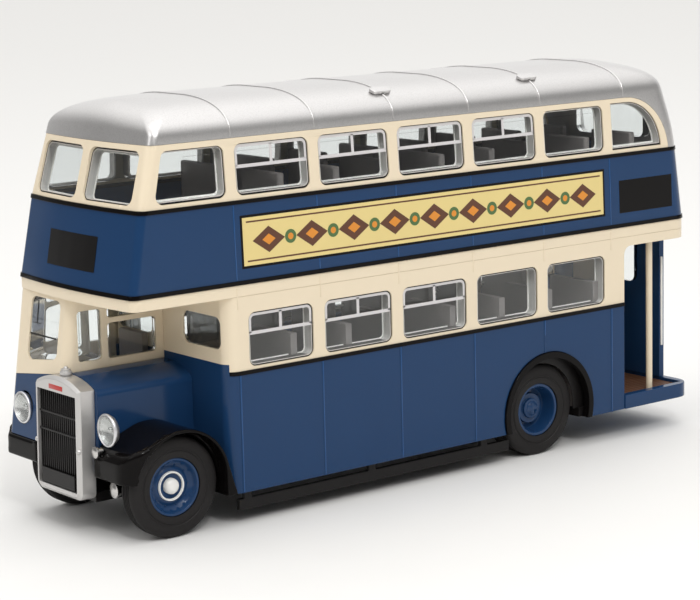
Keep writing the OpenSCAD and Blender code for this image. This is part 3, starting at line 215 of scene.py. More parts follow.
def add_node(tree, kind, inputs=None, **settings):
    """Adds a node with its settings, and sets or links each named input."""
    made = tree.nodes.new("ShaderNode" + kind)
    for key, value in settings.items():
        setattr(made, key, value)
    for key, value in (inputs or {}).items():
        if isinstance(value, bpy.types.NodeSocket):
            tree.links.new(value, made.inputs[key])
        else:
            made.inputs[key].default_value = value
    return made


def per_mm(millimetres):
    """Texture scale at which one feature of a pattern is that long."""
    return 1 / (millimetres * MM)


def empty_material(name):
    """A new material with an empty node tree, and the tree."""
    material = bpy.data.materials.new(name)
    material.use_nodes = True
    material.node_tree.nodes.clear()
    return material, material.node_tree


def place_in(tree):
    """The place on the object, as a node's output."""
    return add_node(tree, "TexCoord").outputs["Object"]


def found(tree, kind):
    """The first node of that type."""
    return next(n for n in tree.nodes if n.type == kind)


def coated(name, colour, roughness, peel_mm, peel_depth, shade=1.0, spread=0.05, metallic=0.0, shine=0.5):
    """A sprayed or moulded finish: soft blotches of tone, a fine skin, and a gloss that varies a little."""
    material, tree = empty_material(name)
    colour = tint(colour, shade)
    place = place_in(tree)
    blotch = add_node(tree, "TexNoise", {"Vector": place, "Scale": per_mm(7), "Detail": 3.0})
    skin = add_node(tree, "TexNoise", {"Vector": place, "Scale": per_mm(peel_mm), "Detail": 2.0})
    tone = add_node(tree, "Mix", {0: blotch.outputs["Fac"], 6: tint(colour, 1 - spread),
                                  7: tint(colour, 1 + spread)}, data_type="RGBA")
    gloss = add_node(tree, "MapRange", {"Value": blotch.outputs["Fac"], "To Min": roughness * 0.85,
                                        "To Max": roughness * 1.15})
    bump = add_node(tree, "Bump", {"Height": skin.outputs["Fac"], "Strength": 0.35, "Distance": peel_depth * MM})
    shader = add_node(tree, "BsdfPrincipled", {
        "Base Color": tone.outputs[2], "Roughness": gloss.outputs["Result"], "Metallic": metallic,
        "Specular IOR Level": shine, "Normal": bump.outputs["Normal"]})
    add_node(tree, "OutputMaterial", {"Surface": shader.outputs["BSDF"]})
    return material


def silver_lacquer(name, colour):
    """Silver lacquer with aluminium flakes: a soft metal sheen that sparkles grain by grain."""
    material = coated(name, colour, 0.3, 0.3, 0.012, spread=0.02, metallic=0.85)
    tree = material.node_tree
    shader = found(tree, "BSDF_PRINCIPLED")
    place = place_in(tree)
    # Real flakes are about 0.02 mm, and are drawn ten times as large to show
    flakes = add_node(tree, "TexVoronoi", {"Vector": place, "Scale": per_mm(0.2)})
    grain = add_node(tree, "Mix", {0: flakes.outputs["Distance"], 6: colour, 7: tint(colour, 0.86)},
                     data_type="RGBA")
    tree.links.new(grain.outputs[2], shader.inputs["Base Color"])
    return material


def clear_polystyrene(name, colour):
    """Clear injection-moulded polystyrene: bright, slightly wavy, with a sharp gloss."""
    material, tree = empty_material(name)
    place = place_in(tree)
    flow = add_node(tree, "TexNoise", {"Vector": place, "Scale": per_mm(6), "Detail": 1.0})
    bump = add_node(tree, "Bump", {"Height": flow.outputs["Fac"], "Strength": 0.15, "Distance": 0.02 * MM})
    shader = add_node(tree, "BsdfPrincipled", {
        "Base Color": colour, "Roughness": 0.02, "IOR": 1.45, "Transmission Weight": 1.0,
        "Normal": bump.outputs["Normal"]})
    # Lamp light passes straight through the panes to the seats
    through = add_node(tree, "BsdfTransparent", {"Color": colour})
    rays = add_node(tree, "LightPath")
    mixed = add_node(tree, "MixShader", {0: rays.outputs["Is Shadow Ray"], 1: shader.outputs["BSDF"],
                                         2: through.outputs["BSDF"]})
    add_node(tree, "OutputMaterial", {"Surface": mixed.outputs["Shader"]})
    return material


def ribbed_floor(name, colour):
    """Brown moulded floor with fine ribs that run along the platform."""
    material = coated(name, colour, 0.6, 0.4, 0.02, spread=0.12)
    tree = material.node_tree
    shader = found(tree, "BSDF_PRINCIPLED")
    skin = found(tree, "BUMP")
    place = place_in(tree)
    # One rib each 0.9 mm
    ribs = add_node(tree, "TexWave", {"Vector": place, "Scale": per_mm(0.9) / math.pi}, bands_direction="Y")
    raised = add_node(tree, "Bump", {"Height": ribs.outputs["Fac"], "Strength": 0.8,
                                     "Distance": 0.12 * MM, "Normal": skin.outputs["Normal"]})
    tree.links.new(raised.outputs["Normal"], shader.inputs["Normal"])
    return material


# Coats: colour, roughness, length and depth of the skin's grain in millimetres, and what else isn't plain
COATS = {
    # Cellulose enamel sprayed on cast zinc: even gloss with a faint orange peel
    "blue_enamel": ("blue", 0.14, 0.5, 0.012, {"shine": 0.22}),
    "cream_enamel": ("cream", 0.25, 0.5, 0.012, {"spread": 0.025, "shine": 0.35}),
    "black_enamel": ("black", 0.08, 0.5, 0.008, {"spread": 0.15, "shine": 0.1}),
    # The blue made 1.9 times lighter on the raised strips: a painted highlight along them
    "thin_blue_enamel": ("blue", 0.16, 0.5, 0.012, {"shade": 1.9, "shine": 0.3}),
    # Vacuum plating on a casting: satin metal that follows the casting's skin
    "satin_plating": ("plating", 0.34, 0.35, 0.015, {"spread": 0.08, "metallic": 0.65}),
    # Bright plating of the lamp bowls, close to a mirror
    "bright_plating": ("plating", 0.1, 0.8, 0.004, {"shade": 1.2, "spread": 0.02, "metallic": 1.0}),
    # Reflectors of the lamps: plating that is a little duller than the bowls
    "lamp_reflector": ("plating", 0.22, 0.5, 0.01, {"spread": 0.1, "metallic": 1.0}),
    # Moulded ABS with a satin, finely eroded skin
    "black_abs": ("plastic", 0.38, 0.25, 0.02, {"spread": 0.12, "shine": 0.22}),
    # Cut edges of the clear inserts, frosted and pale
    "cut_polystyrene": ("pane_edge", 0.5, 0.3, 0.02, {"spread": 0.06}),
    # Lower edges of the inserts: the pane-edge colour made 0.13 as dark, a painted shade
    "pane_shade": ("pane_edge", 0.4, 0.3, 0.01, {"shade": 0.13, "spread": 0.1, "shine": 0.3}),
    # Inner rims of the inserts: the pane-edge colour made 1.7 times lighter, a painted highlight
    "pane_rim": ("pane_edge", 0.3, 0.3, 0.01, {"shade": 1.7, "spread": 0.02}),
    # Self-coloured polystyrene of the seats, dull from the tool
    "seat_polystyrene": ("seats", 0.55, 0.3, 0.02, {"spread": 0.1}),
    # Drawn steel rod
    "drawn_steel": ("steel", 0.28, 0.2, 0.008, {"spread": 0.06, "metallic": 1.0}),
    # Glossy moulded wheels, painted like the body
    "hub_gloss_blue": ("blue", 0.16, 0.5, 0.01, {"shine": 0.3}),
    "hub_gloss_white": ("hub_white", 0.22, 0.5, 0.01, {"spread": 0.02}),
    # Moulded soft PVC tyres, dull with a little bloom
    "tyre_pvc": ("rubber", 0.6, 0.3, 0.03, {"spread": 0.18, "shine": 0.25}),
    # Tampo print: a flat, slightly glossy layer of ink
    "white_ink": ("print_white", 0.35, 0.4, 0.006, {"spread": 0.02}),
    "yellow_ink": ("print_yellow", 0.38, 0.4, 0.006, {"spread": 0.03}),
    "brown_ink": ("print_brown", 0.38, 0.4, 0.006, {"spread": 0.08}),
    "green_ink": ("print_green", 0.38, 0.4, 0.006, {"spread": 0.1}),
    "orange_ink": ("print_orange", 0.38, 0.4, 0.006, {"spread": 0.06}),
    "black_ink": ("black", 0.3, 0.4, 0.006, {"spread": 0.15, "shine": 0.15}),
    "red_ink": ("badge_red", 0.32, 0.4, 0.006, {"spread": 0.08}),
    # Matt paper sweep under the model
    "paper_sweep": ("stage", 0.85, 0.8, 0.02, {"spread": 0.008}),
}
# Finishes with a maker of their own, and their colour
OWN_MAKERS = {"silver_lacquer": (silver_lacquer, "silver"), "clear_polystyrene": (clear_polystyrene, "glass"),
              "ribbed_floor": (ribbed_floor, "floor_brown")}


def finish(key):
    """The material of that name, made the first time it is asked for."""
    known = bpy.data.materials.get(key)
    if known:
        return known
    if key in OWN_MAKERS:
        maker, colour = OWN_MAKERS[key]
        return maker(key, getattr(colours(), colour))
    colour, roughness, grain, depth, rest = COATS[key]
    return coated(key, getattr(colours(), colour), roughness, grain, depth, **rest)


# Which finish stands for each material slot of the record
SLOT_FINISH = {
    "blue_paint": "blue_enamel", "cream_paint": "cream_enamel", "black_paint": "black_enamel",
    "silver_paint": "silver_lacquer", "bright_plating": "satin_plating", "black_plastic": "black_abs",
    "clear_plastic": "clear_polystyrene", "seat_plastic": "seat_polystyrene", "brown_plastic": "ribbed_floor",
    "axle_steel": "drawn_steel", "hub_blue": "hub_gloss_blue", "hub_white": "hub_gloss_white",
    "tyre_rubber": "tyre_pvc",
}
NODE_SLOT = {part["node"]: part["material_slot"] for part in frame["record"]["subparts"]}


# Modelling

def deselect():
    """Leaves nothing selected and no object in edit mode."""
    if bpy.context.object and bpy.context.object.mode != "OBJECT":
        bpy.ops.object.mode_set(mode="OBJECT")
    bpy.ops.object.select_all(action="DESELECT")


def activate(piece):
    """Selects one object alone and makes it the active one."""
    deselect()
    piece.select_set(True)
    bpy.context.view_layer.objects.active = piece


def edit(piece):
    """Opens one object in edit mode with all of its mesh selected."""
    activate(piece)
    bpy.ops.object.mode_set(mode="EDIT")
    bpy.ops.mesh.select_all(action="SELECT")


def leave_edit():
    """Goes back to object mode."""
    bpy.ops.object.mode_set(mode="OBJECT")


def modify(piece, kind, **settings):
    """Adds a modifier with its settings and applies it."""
    activate(piece)
    made = piece.modifiers.new(kind.title(), kind)
    for key, value in settings.items():
        setattr(made, key, value)
    bpy.ops.object.modifier_apply(modifier=made.name)


def settle(piece, body, material, smooth=35, closed=True):
    """Puts a piece's place into its mesh, smooths it, and gives it its finish and its body."""
    activate(piece)
    bpy.ops.object.transform_apply(location=True, rotation=True, scale=True)
    edit(piece)
    bpy.ops.mesh.remove_doubles(threshold=0.001 * MM)
    if closed:
        bpy.ops.mesh.normals_make_consistent(inside=False)
    leave_edit()
    bpy.ops.object.shade_smooth_by_angle(angle=math.radians(smooth))
    piece.data.materials.clear()
    piece.data.materials.append(finish(material))
    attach(piece, body)
    return piece


def join(name, pieces):
    """Joins pieces into one mesh under a new name."""
    activate(pieces[0])
    for piece in pieces:
        piece.select_set(True)
    if len(pieces) > 1:
        bpy.ops.object.join()
    bpy.context.object.name = name
    return bpy.context.object


def turned(degrees, axis):
    """A turn about an axis through the origin."""
    return Matrix.Rotation(math.radians(degrees), 4, axis)


def moved(x, y, z):
    """A shift in millimetres."""
    return Matrix.Translation(Vector((x, y, z)) * MM)


def copy_of(piece, name):
    """A second object with a mesh of its own."""
    twin = piece.copy()
    twin.data = piece.data.copy()
    twin.name = name
    bpy.context.scene.collection.objects.link(twin)
    return twin


def mirrored(piece, name):
    """A copy of a piece on the other side of the model's middle plane."""
    twin = copy_of(piece, name)
    twin.data.transform(Matrix.Scale(-1, 4, (0, 1, 0)))
    edit(twin)
    bpy.ops.mesh.flip_normals()
    leave_edit()
    return twin


def dressed(node, edge=0.0, smooth=35, crease=40, segments=2, flat=0.4, material=None):
    """A merged copy of a CAD node with rounded edges and true flats, which stands for the node."""
    source = frame["nodes"][node]
    piece = copy_of(source, node + "_dressed")
    piece.parent = None
    for key in [k for k in piece.keys() if k.startswith("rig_")]:
        del piece[key]
    edit(piece)
    bpy.ops.mesh.remove_doubles(threshold=0.0006 * MM)
    bpy.ops.mesh.dissolve_limited(angle_limit=math.radians(flat))
    leave_edit()
    if edge:
        modify(piece, "BEVEL", width=edge, segments=segments, limit_method="ANGLE",
               angle_limit=math.radians(crease), use_clamp_overlap=True, miter_outer="MITER_ARC")
    slot = NODE_SLOT[node]
    settle(piece, source["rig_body"], material or SLOT_FINISH[slot], smooth, closed=False)
    modify(piece, "WEIGHTED_NORMAL", keep_sharp=True, weight=80)
    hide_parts(node)
    return piece


def drawn(name, points, edges=(), faces=()):
    """A new object from points in millimetres, with its edges or faces."""
    mesh = bpy.data.meshes.new(name)
    mesh.from_pydata([Vector(p) * MM for p in points], edges, faces)
    piece = bpy.data.objects.new(name, mesh)
    bpy.context.scene.collection.objects.link(piece)
    return piece


def spun(name, profile, centre, axis, steps=96):
    """A ring or disc turned from a profile of (radius, depth) points in millimetres about an axis."""
    along = Vector(axis).normalized()
    out = along.orthogonal().normalized()
    middle = Vector(centre)
    points = [middle + out * r + along * d for r, d in profile]
    piece = drawn(name, points, [(i, i + 1) for i in range(len(points) - 1)])
    edit(piece)
    bpy.ops.mesh.spin(steps=steps, angle=2 * math.pi, center=middle * MM, axis=along)
    bpy.ops.mesh.select_all(action="SELECT")
    bpy.ops.mesh.remove_doubles(threshold=0.0005 * MM)
    bpy.ops.mesh.normals_make_consistent(inside=False)
    leave_edit()
    return piece


def plate(name, x0, x1, z0, z1):
    """A flat rectangle in X and Z, in millimetres, that faces sideways."""
    deselect()
    bpy.ops.mesh.primitive_plane_add(size=1, rotation=(math.radians(90), 0, 0))
    piece = bpy.context.object
    piece.name = name
    piece.scale = ((x1 - x0) * MM, (z1 - z0) * MM, 1)
    piece.location = ((x0 + x1) / 2 * MM, 0, (z0 + z1) / 2 * MM)
    bpy.ops.object.transform_apply(location=True, rotation=True, scale=True)
    return piece


def polygon(name, points):
    """A flat face in X and Z from corner points in millimetres."""
    return drawn(name, [(x, 0, z) for x, z in points], faces=[range(len(points))])


def rear_arc(x, z, radius, angles):
    """Points of a quarter circle about a middle in X and Z, from its top to the rear."""
    return [(x - radius * math.sin(math.radians(a)), z + radius * math.cos(math.radians(a))) for a in angles]


def rounded(piece, radius):
    """Rounds the corners of a flat face."""
    edit(piece)
    bpy.ops.mesh.bevel(offset=radius * MM, segments=8, affect="VERTICES")
    leave_edit()
    return piece


def rounded_ring(piece, radius, width):
    """Turns a flat face into a ring of that width, with rounded corners."""
    edit(rounded(piece, radius) if radius else piece)
    bpy.ops.mesh.inset(thickness=width * MM)
    bpy.ops.mesh.delete(type="FACE")
    leave_edit()
    return piece


def thick(piece, depth):
    """Extrudes a flat piece along Y to a depth in millimetres, half to each side."""
    modify(piece, "SOLIDIFY", thickness=depth * MM, offset=0)
    edit(piece)
    bpy.ops.mesh.normals_make_consistent(inside=False)
    leave_edit()
    return piece


def onto_side(piece, y, z, lean_deg, depth):
    """Thickens a flat piece and sets it on the kerb side wall that leans in from height z."""
    thick(piece, depth).data.transform(moved(0, y, z) @ turned(lean_deg, "X"))
    return piece


def both_sides(piece):
    """A piece of the kerb side with its twin on the off side."""
    return [piece, mirrored(piece, piece.name + "_off")]


def cut(piece, cutter):
    """Cuts one solid by another and removes the cutter."""
    modify(piece, "BOOLEAN", object=cutter, operation="DIFFERENCE", solver="EXACT")
    bpy.data.objects.remove(cutter)


def wheel(node):
    """Middle in X and Z, outer face in Y and radius of a wheel's node, in millimetres."""
    low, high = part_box(node)
    return (low.x + high.x) / 2 / MM, (low.z + high.z) / 2 / MM, high.y / MM, (high.z - low.z) / 2 / MM


def lean_of(shift, height):
    """Angle of a wall that leans in by a shift over a height, in degrees."""
    return math.degrees(math.atan2(shift, height))


# Operators

class BUS_OT_shell(bpy.types.Operator):
    """Paints the cast body and rounds its edges"""

    bl_idname = "bus.shell"
    bl_label = "Body shell"

    def execute(self, context):
        edge = sizes().edge
        for node in ("lower_panels", "lower_window_band", "cab_panels", "cab_window_frame", "upper_floor",
                     "bonnet", "platform_step", "side_rails", "saloon_partition", "rear_arch_lips"):
            dressed(node, edge)
        for node in ("upper_belt", "upper_window_band", "beading"):
            dressed(node, edge * 0.7, smooth=30, crease=45, flat=0.02)
        dressed("roof_vents", 0.22 * MM, smooth=60, crease=30, segments=3)
        return {"FINISHED"}


class BUS_OT_roof(bpy.types.Operator):
    """Builds the smooth roof over the CAD roof's outlines, with its raised seams"""

    bl_idname = "bus.roof"
    bl_label = "Roof and seams"

    def outline(self, z, x0, x1, w, front_r, rear_r):
        """Points of one level plan outline with round corners and a bowed front."""
        points = []
        for s in (-1, 1):
            for i in range(13):
                along, out = 1 - math.cos(math.radians(i * 7.5)), 1 - math.sin(math.radians(i * 7.5))
                points.append((x0 + rear_r * along, s * (w - rear_r * out), z))
                points.append((x1 - front_r * along, s * (w - front_r * out), z))
        side = w - front_r
        return points + [(x1 + FRONT_BOW * (1 - (i / 10) ** 2), side * i / 10, z) for i in range(-10, 11)]

    def hull(self, name, inset):
        """Solid of the upper deck above the belt, inset by a margin, as a hull of fine outlines."""
        points = []
        low = TOP_BEAD_Z - (0.5 if inset else 0)
        levels, steps = 8, 24
        for i in range(levels + 1):
            z = low + (CANTRAIL_Z - low) * i / levels
            share = (z - BELT_TOP_Z) / BAND_H
            points += self.outline(z, DECK_REAR_X + TAIL_SWEEP * share ** 2 + inset,
                                   DECK_FRONT_X - BAND_RAKE * share - inset,
                                   HALF_W - BELT_LEAN - BAND_LEAN * share - inset,
                                   FRONT_R - inset / 2, REAR_R + share - inset / 2)
        for i in range(1, steps + 1):
            a = math.radians(ROOF_END * i / steps)
            run = 1 - math.cos(a) ** ROOF_POWER
            z = CANTRAIL_Z + ROOF_H * (math.sin(a) / math.sin(math.radians(ROOF_END))) ** ROOF_POWER - inset
            w = (HALF_W - BELT_LEAN - BAND_LEAN) * (1 - ROOF_CLOSE * run) - inset
            points += self.outline(z, DECK_REAR_X + TAIL_SWEEP + ROOF_REAR_RUN * run + inset,
                                   DECK_FRONT_X - BAND_RAKE - ROOF_FRONT_RUN * run - inset, w,
                                   min(FRONT_R + ROOF_FRONT_R * run, w - 0.2),
                                   min(REAR_R + 1 + ROOF_REAR_R * run, w - 0.2))
        piece = drawn(name, points)
        edit(piece)
        bpy.ops.mesh.convex_hull(join_triangles=True, face_threshold=math.radians(0.5),
                                 shape_threshold=math.radians(180))
        bpy.ops.mesh.select_all(action="SELECT")
        bpy.ops.mesh.normals_make_consistent(inside=False)
        leave_edit()
        return piece

    def seam(self, solid, x):
        """Round bead over the roof at one station."""
        bead = copy_of(solid, "seam")
        edit(bead)
        bpy.ops.mesh.bisect(plane_co=(x * MM, 0, 0), plane_no=(1, 0, 0), clear_inner=True, clear_outer=True)
        bpy.ops.mesh.select_all(action="SELECT")
        bpy.ops.mesh.bisect(plane_co=(0, 0, (CANTRAIL_Z + 0.1) * MM), plane_no=(0, 0, 1), clear_inner=True)
        leave_edit()
        bpy.ops.object.convert(target="CURVE")
        bead = bpy.context.object
        bead.data.bevel_depth = SEAM_R * MM
        bead.data.bevel_resolution = 3
        bead.data.use_fill_caps = True
        bpy.ops.object.convert(target="MESH")
        return bpy.context.object

    def execute(self, context):
        roof = self.hull("roof_dressed", 0)
        seams = join("roof_seams", [self.seam(roof, x) for x in SEAMS_X])
        cut(roof, self.hull("hollow", WALL))
        # The window band's place, from below the roof's foot to beyond its front and sides
        below, beyond = 44, 60
        side = [(beyond, below), (beyond, BAND_TOP_Z), (QUARTER_X, BAND_TOP_Z)]
        side += rear_arc(QUARTER_X, BAND_TOP_Z - QUARTER_R, QUARTER_R, range(5, 95, 5))
        cut(roof, thick(polygon("band", side + [(QUARTER_X - QUARTER_R, below)]), beyond))
        screen = rounded(plate("screen", *REAR_SCREEN), REAR_SCREEN_R)
        thick(screen, 6).data.transform(moved(REAR_SCREEN_X, 0, 0) @ turned(90, "Z"))
        cut(roof, screen)
        settle(roof, BUS, "silver_lacquer", smooth=30)
        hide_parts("roof")
        settle(seams, BUS, "silver_lacquer", smooth=60)
        return {"FINISHED"}


class BUS_OT_wings(bpy.types.Operator):
    """Rolls the rims of the front wings"""

    bl_idname = "bus.wings"
    bl_label = "Front wings"

    def execute(self, context):
        wings = dressed("front_wings")
        modify(wings, "REMESH", mode="VOXEL", voxel_size=0.15 * MM)
        modify(wings, "SMOOTH", factor=0.5, iterations=10)
        # The noses are smoothed once more: what lies before, above and outside of these planes
        x, y, z = 48.5 * MM, 7 * MM, 9.3 * MM
        nose = wings.vertex_groups.new(name="nose")
        inside = [v.index for v in wings.data.vertices if v.co.x > x and abs(v.co.y) > y and v.co.z > z]
        nose.add(inside, 1.0, "REPLACE")
        modify(wings, "SMOOTH", factor=0.5, iterations=60, vertex_group="nose")
        activate(wings)
        bpy.ops.object.shade_smooth()
        return {"FINISHED"}


class BUS_OT_arch_liners(bpy.types.Operator):
    """Closes the rear arches behind their rims with dark liners"""

    bl_idname = "bus.arch_liners"
    bl_label = "Arch liners"

    def execute(self, context):
        inner, outer, depth, y, foot = 7.15, 11.0, 0.12, 13.1, 6.0
        section = [(inner, 0), (outer, 0), (outer, depth), (inner, depth), (inner, 0)]
        liner = spun("liner", section, (REAR_AXLE_X, y, TYRE_R), (0, 1, 0))
        edit(liner)
        bpy.ops.mesh.bisect(plane_co=(0, 0, foot * MM), plane_no=(0, 0, 1), clear_inner=True, use_fill=True)
        leave_edit()
        settle(join("arch_liners", both_sides(liner)), BUS, "black_abs")
        return {"FINISHED"}


class BUS_OT_seats(bpy.types.Operator):
    """Rounds the moulded seats and the driver's place"""

    bl_idname = "bus.seats"
    bl_label = "Seats"

    def execute(self, context):
        for node in ("lower_seats_kerb", "lower_seats_off", "upper_seats"):
            dressed(node, sizes().seat_edge, segments=3)
        dressed("cab_interior", sizes().edge)
        return {"FINISHED"}


class BUS_OT_running_gear(bpy.types.Operator):
    """Finishes the radiator, the wheels' hubs, the base and the other plain castings"""

    bl_idname = "bus.running_gear"
    bl_label = "Castings and running gear"

    def execute(self, context):
        dressed("radiator_shell", 0.16 * MM, segments=3, crease=30)
        for node in ("radiator_grille", "number_plate", "filler_cap", "platform_floor", "platform_pole"):
            dressed(node, 0.04 * MM)
        for node in ("chassis_base", "front_axle", "rear_axle", "front_hubs", "rear_hubs"):
            dressed(node, 0.08 * MM)
        dressed("small_lamps", 0.12 * MM, segments=3, material="lamp_reflector")
        return {"FINISHED"}


class BUS_OT_glazing(bpy.types.Operator):
    """Makes the window inserts clear"""

    bl_idname = "bus.glazing"
    bl_label = "Glazing"

    def execute(self, context):
        for node in ("lower_glazing", "cab_glazing", "upper_glazing"):
            dressed(node, 0.04 * MM)
        return {"FINISHED"}


class BUS_OT_tyres(bpy.types.Operator):
    """Turns tyres with tread grooves, single at the front and twin at the rear"""

    bl_idname = "bus.tyres"
    bl_label = "Tyres"

    def tyre_profile(self, width, bore, radius):
        """Closed section of one tyre as (radius, depth) points from its outer face inwards."""
        groove, shoulder = sizes().groove / MM, 0.7
        points = [(bore, 0.12), (bore + 0.25, 0.0), (bore + 0.9, 0.0), (bore + 1.0, 0.1), (bore + 1.2, 0.1),
                  (bore + 1.3, 0.0), (radius - shoulder - 0.35, 0.05)]
        arc = [(radius - shoulder + shoulder * math.sin(math.radians(a)),
                shoulder * (1 - math.cos(math.radians(a))) + 0.05) for a in (15, 40, 65, 90)]
        points += arc
        grooves = 4 if width > 2.5 else 3
        land = (width - 2 * shoulder - 0.1) / grooves
        for i in range(grooves):
            start = shoulder + 0.05 + land * (i + 0.5) - 0.12
            points += [(radius, start), (radius - groove, start + 0.05), (radius - groove, start + 0.19),
                       (radius, start + 0.24)]
        points += [(r, width - depth) for r, depth in reversed(arc)]
        return points + [(radius - shoulder - 0.35, width - 0.05), (bore + 0.25, width), (bore, width - 0.12),
                         (bore, 0.12)]

    def execute(self, context):
        bore = 4.04
        for node, body, width, twin in (("front_tyres", FRONT, sizes().front_tyre, 1),
                                        ("rear_tyres", REAR, sizes().rear_tyre, 2)):
            # The tyres stand on the ground, so their radius is also the height of their middle
            x, _, outer, radius = wheel(node)
            each = width / MM / twin
            rings = []
            for side in (1, -1):
                for i in range(twin):
                    face = (x, side * (outer - i * each), radius)
                    profile = self.tyre_profile(each - 0.06 * (twin - 1), bore, radius - 0.002)
                    rings.append(spun("ring", profile, face, (0, -side, 0)))
            piece = join(node + "_dressed", rings)
            settle(piece, body, "tyre_pvc", smooth=40)
            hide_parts(node)
        return {"FINISHED"}


class BUS_OT_hub_caps(bpy.types.Operator):
    """Turns the domed white cap and the half-round white ring of each front wheel"""

    bl_idname = "bus.hub_caps"
    bl_label = "Front hub caps"

    def execute(self, context):
        x, z, top, _ = wheel("front_hub_caps")
        cap = [(0, 0), (0.5, -0.03), (0.85, -0.15), (1.05, -0.4), (1.1, -0.7), (1.1, -1.02), (0, -1.02)]
        ring = [(1.74, -0.82), (1.76, -0.62), (1.84, -0.52), (1.96, -0.52), (2.03, -0.62), (2.05, -0.82),
                (1.74, -0.82)]
        made = [spun("cap", profile, (x, s * top, z), (0, s, 0)) for s in (1, -1) for profile in (cap, ring)]
        piece = settle(join("front_hub_caps_dressed", made), FRONT, "hub_gloss_white", smooth=50)
        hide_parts("front_hub_caps")
        return {"FINISHED"}


class BUS_OT_nuts(bpy.types.Operator):
    """Sets a ring of nuts on each wheel"""

    bl_idname = "bus.nuts"
    bl_label = "Wheel nuts"

    def execute(self, context):
        nut = 0.17
        profile = [(0, 0.2), (0.5 * nut, 0.18), (0.85 * nut, 0.1), (nut, 0.0), (nut, -0.1), (0, -0.1)]
        # Wheel set: hub node, body, radius of the ring, depth of its seat behind the hub's face
        for node, body, ring, seat in (("front_hubs", FRONT, 2.8, 1.18), ("rear_hubs", REAR, 2.75, 2.4)):
            x, z, face, _ = wheel(node)
            made = []
            for side in (1, -1):
                for i in range(sizes().nuts):
                    turn = 2 * math.pi * i / sizes().nuts
                    centre = (x + ring * math.cos(turn), side * (face - seat), z + ring * math.sin(turn))
                    made.append(spun("nut", profile, centre, (0, side, 0), steps=12))
            piece = join(node.replace("hubs", "wheel_nuts"), made)
            settle(piece, body, "hub_gloss_blue", smooth=60)
        return {"FINISHED"}


class BUS_OT_headlamps(bpy.types.Operator):
    """Builds the headlamps from a plated bowl, a reflector with its bulb, and a clear lens"""

    bl_idname = "bus.headlamps"
    bl_label = "Headlamps"

    def execute(self, context):
        # Radius of the rim, and profiles from the axis outwards
        r = 2.25
        shell = [(0, -1.15), (0.5 * r, -1.05), (0.82 * r, -0.6), (0.97 * r, -0.1), (r, 0.05), (r, 0.26),
                 (0.97 * r, 0.36), (0.9 * r, 0.38), (0.87 * r, 0.3), (0.86 * r, 0.1), (0.84 * r, 0.05),
                 (0.7 * r, -0.3), (0, -0.75)]
        mirror = [(0.85 * r, 0.12), (0.78 * r, -0.02), (0.6 * r, -0.3), (0.35 * r, -0.52), (0.18 * r, -0.58),
                  (0.17 * r, -0.2), (0.1 * r, -0.08), (0, -0.04), (0, -0.95), (0.5 * r, -0.85), (0.8 * r, -0.3),
                  (0.86 * r, 0.0), (0.85 * r, 0.12)]
        lens = [(0, 0.72), (0.25 * r, 0.69), (0.5 * r, 0.6), (0.7 * r, 0.47), (0.86 * r, 0.3), (0.86 * r, 0.2),
                (0.68 * r, 0.33), (0.48 * r, 0.44), (0.25 * r, 0.53), (0, 0.56)]
        for name, profile, slot, material in (
                ("headlamp_bowls", shell, "bright_plating", "bright_plating"),
                ("headlamp_mirrors", mirror, "bright_plating", "lamp_reflector"),
                ("headlamp_lenses", lens, "clear_plastic", "clear_polystyrene")):
            pair = [spun("lamp", profile, place, (1, 0, 0), steps=64) for place in HEADLAMPS]
            settle(join(name, pair), BUS, material, smooth=50)
        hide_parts("headlamps")
        return {"FINISHED"}


class BUS_OT_window_prints(bpy.types.Operator):
    """Prints the frames of the sliding vents on the windows"""

    bl_idname = "bus.window_prints"
    bl_label = "Window frames"

    def vent_frame(self, front_x, length, low, height, bar):
        """Rounded frame of a window's upper part, with a level bar below it and a post in its middle."""
        width, bar_h = sizes().frame_w / MM, sizes().bar_h / MM
        rear_x = front_x - length
        ring = plate("ring", rear_x + PANE_GAP, front_x - PANE_GAP, low + PANE_GAP, low + height - PANE_GAP)
        rounded_ring(ring, WINDOW_R - PANE_GAP, width)
        edit(ring)
        bpy.ops.mesh.bisect(plane_co=(0, 0, bar * MM), plane_no=(0, 0, 1), clear_inner=True)
        leave_edit()
        middle, half = (rear_x + front_x) / 2, width * 0.65
        level = plate("level", rear_x + PANE_GAP, front_x - PANE_GAP, bar - bar_h / 2, bar + bar_h / 2)
        post = plate("post", middle - half, middle + half, bar + bar_h / 2, low + height - width)
        return [ring, level, post]

    def execute(self, context):
        lift = sizes().print_lift / MM
        sides = []
        for windows, y, z, lean in ((LOW_WINDOWS, HALF_W - PANE_RECESS, 0, 0),
                                    (UP_WINDOWS, HALF_W - BELT_LEAN - PANE_RECESS, BELT_TOP_Z,
                                     lean_of(BAND_LEAN, BAND_H))):
            flat = join("frames", [p for w in windows for p in self.vent_frame(*w)])
            sides += both_sides(onto_side(flat, y, z, lean, lift))
        settle(join("window_prints", sides), BUS, "white_ink", closed=False)
        return {"FINISHED"}


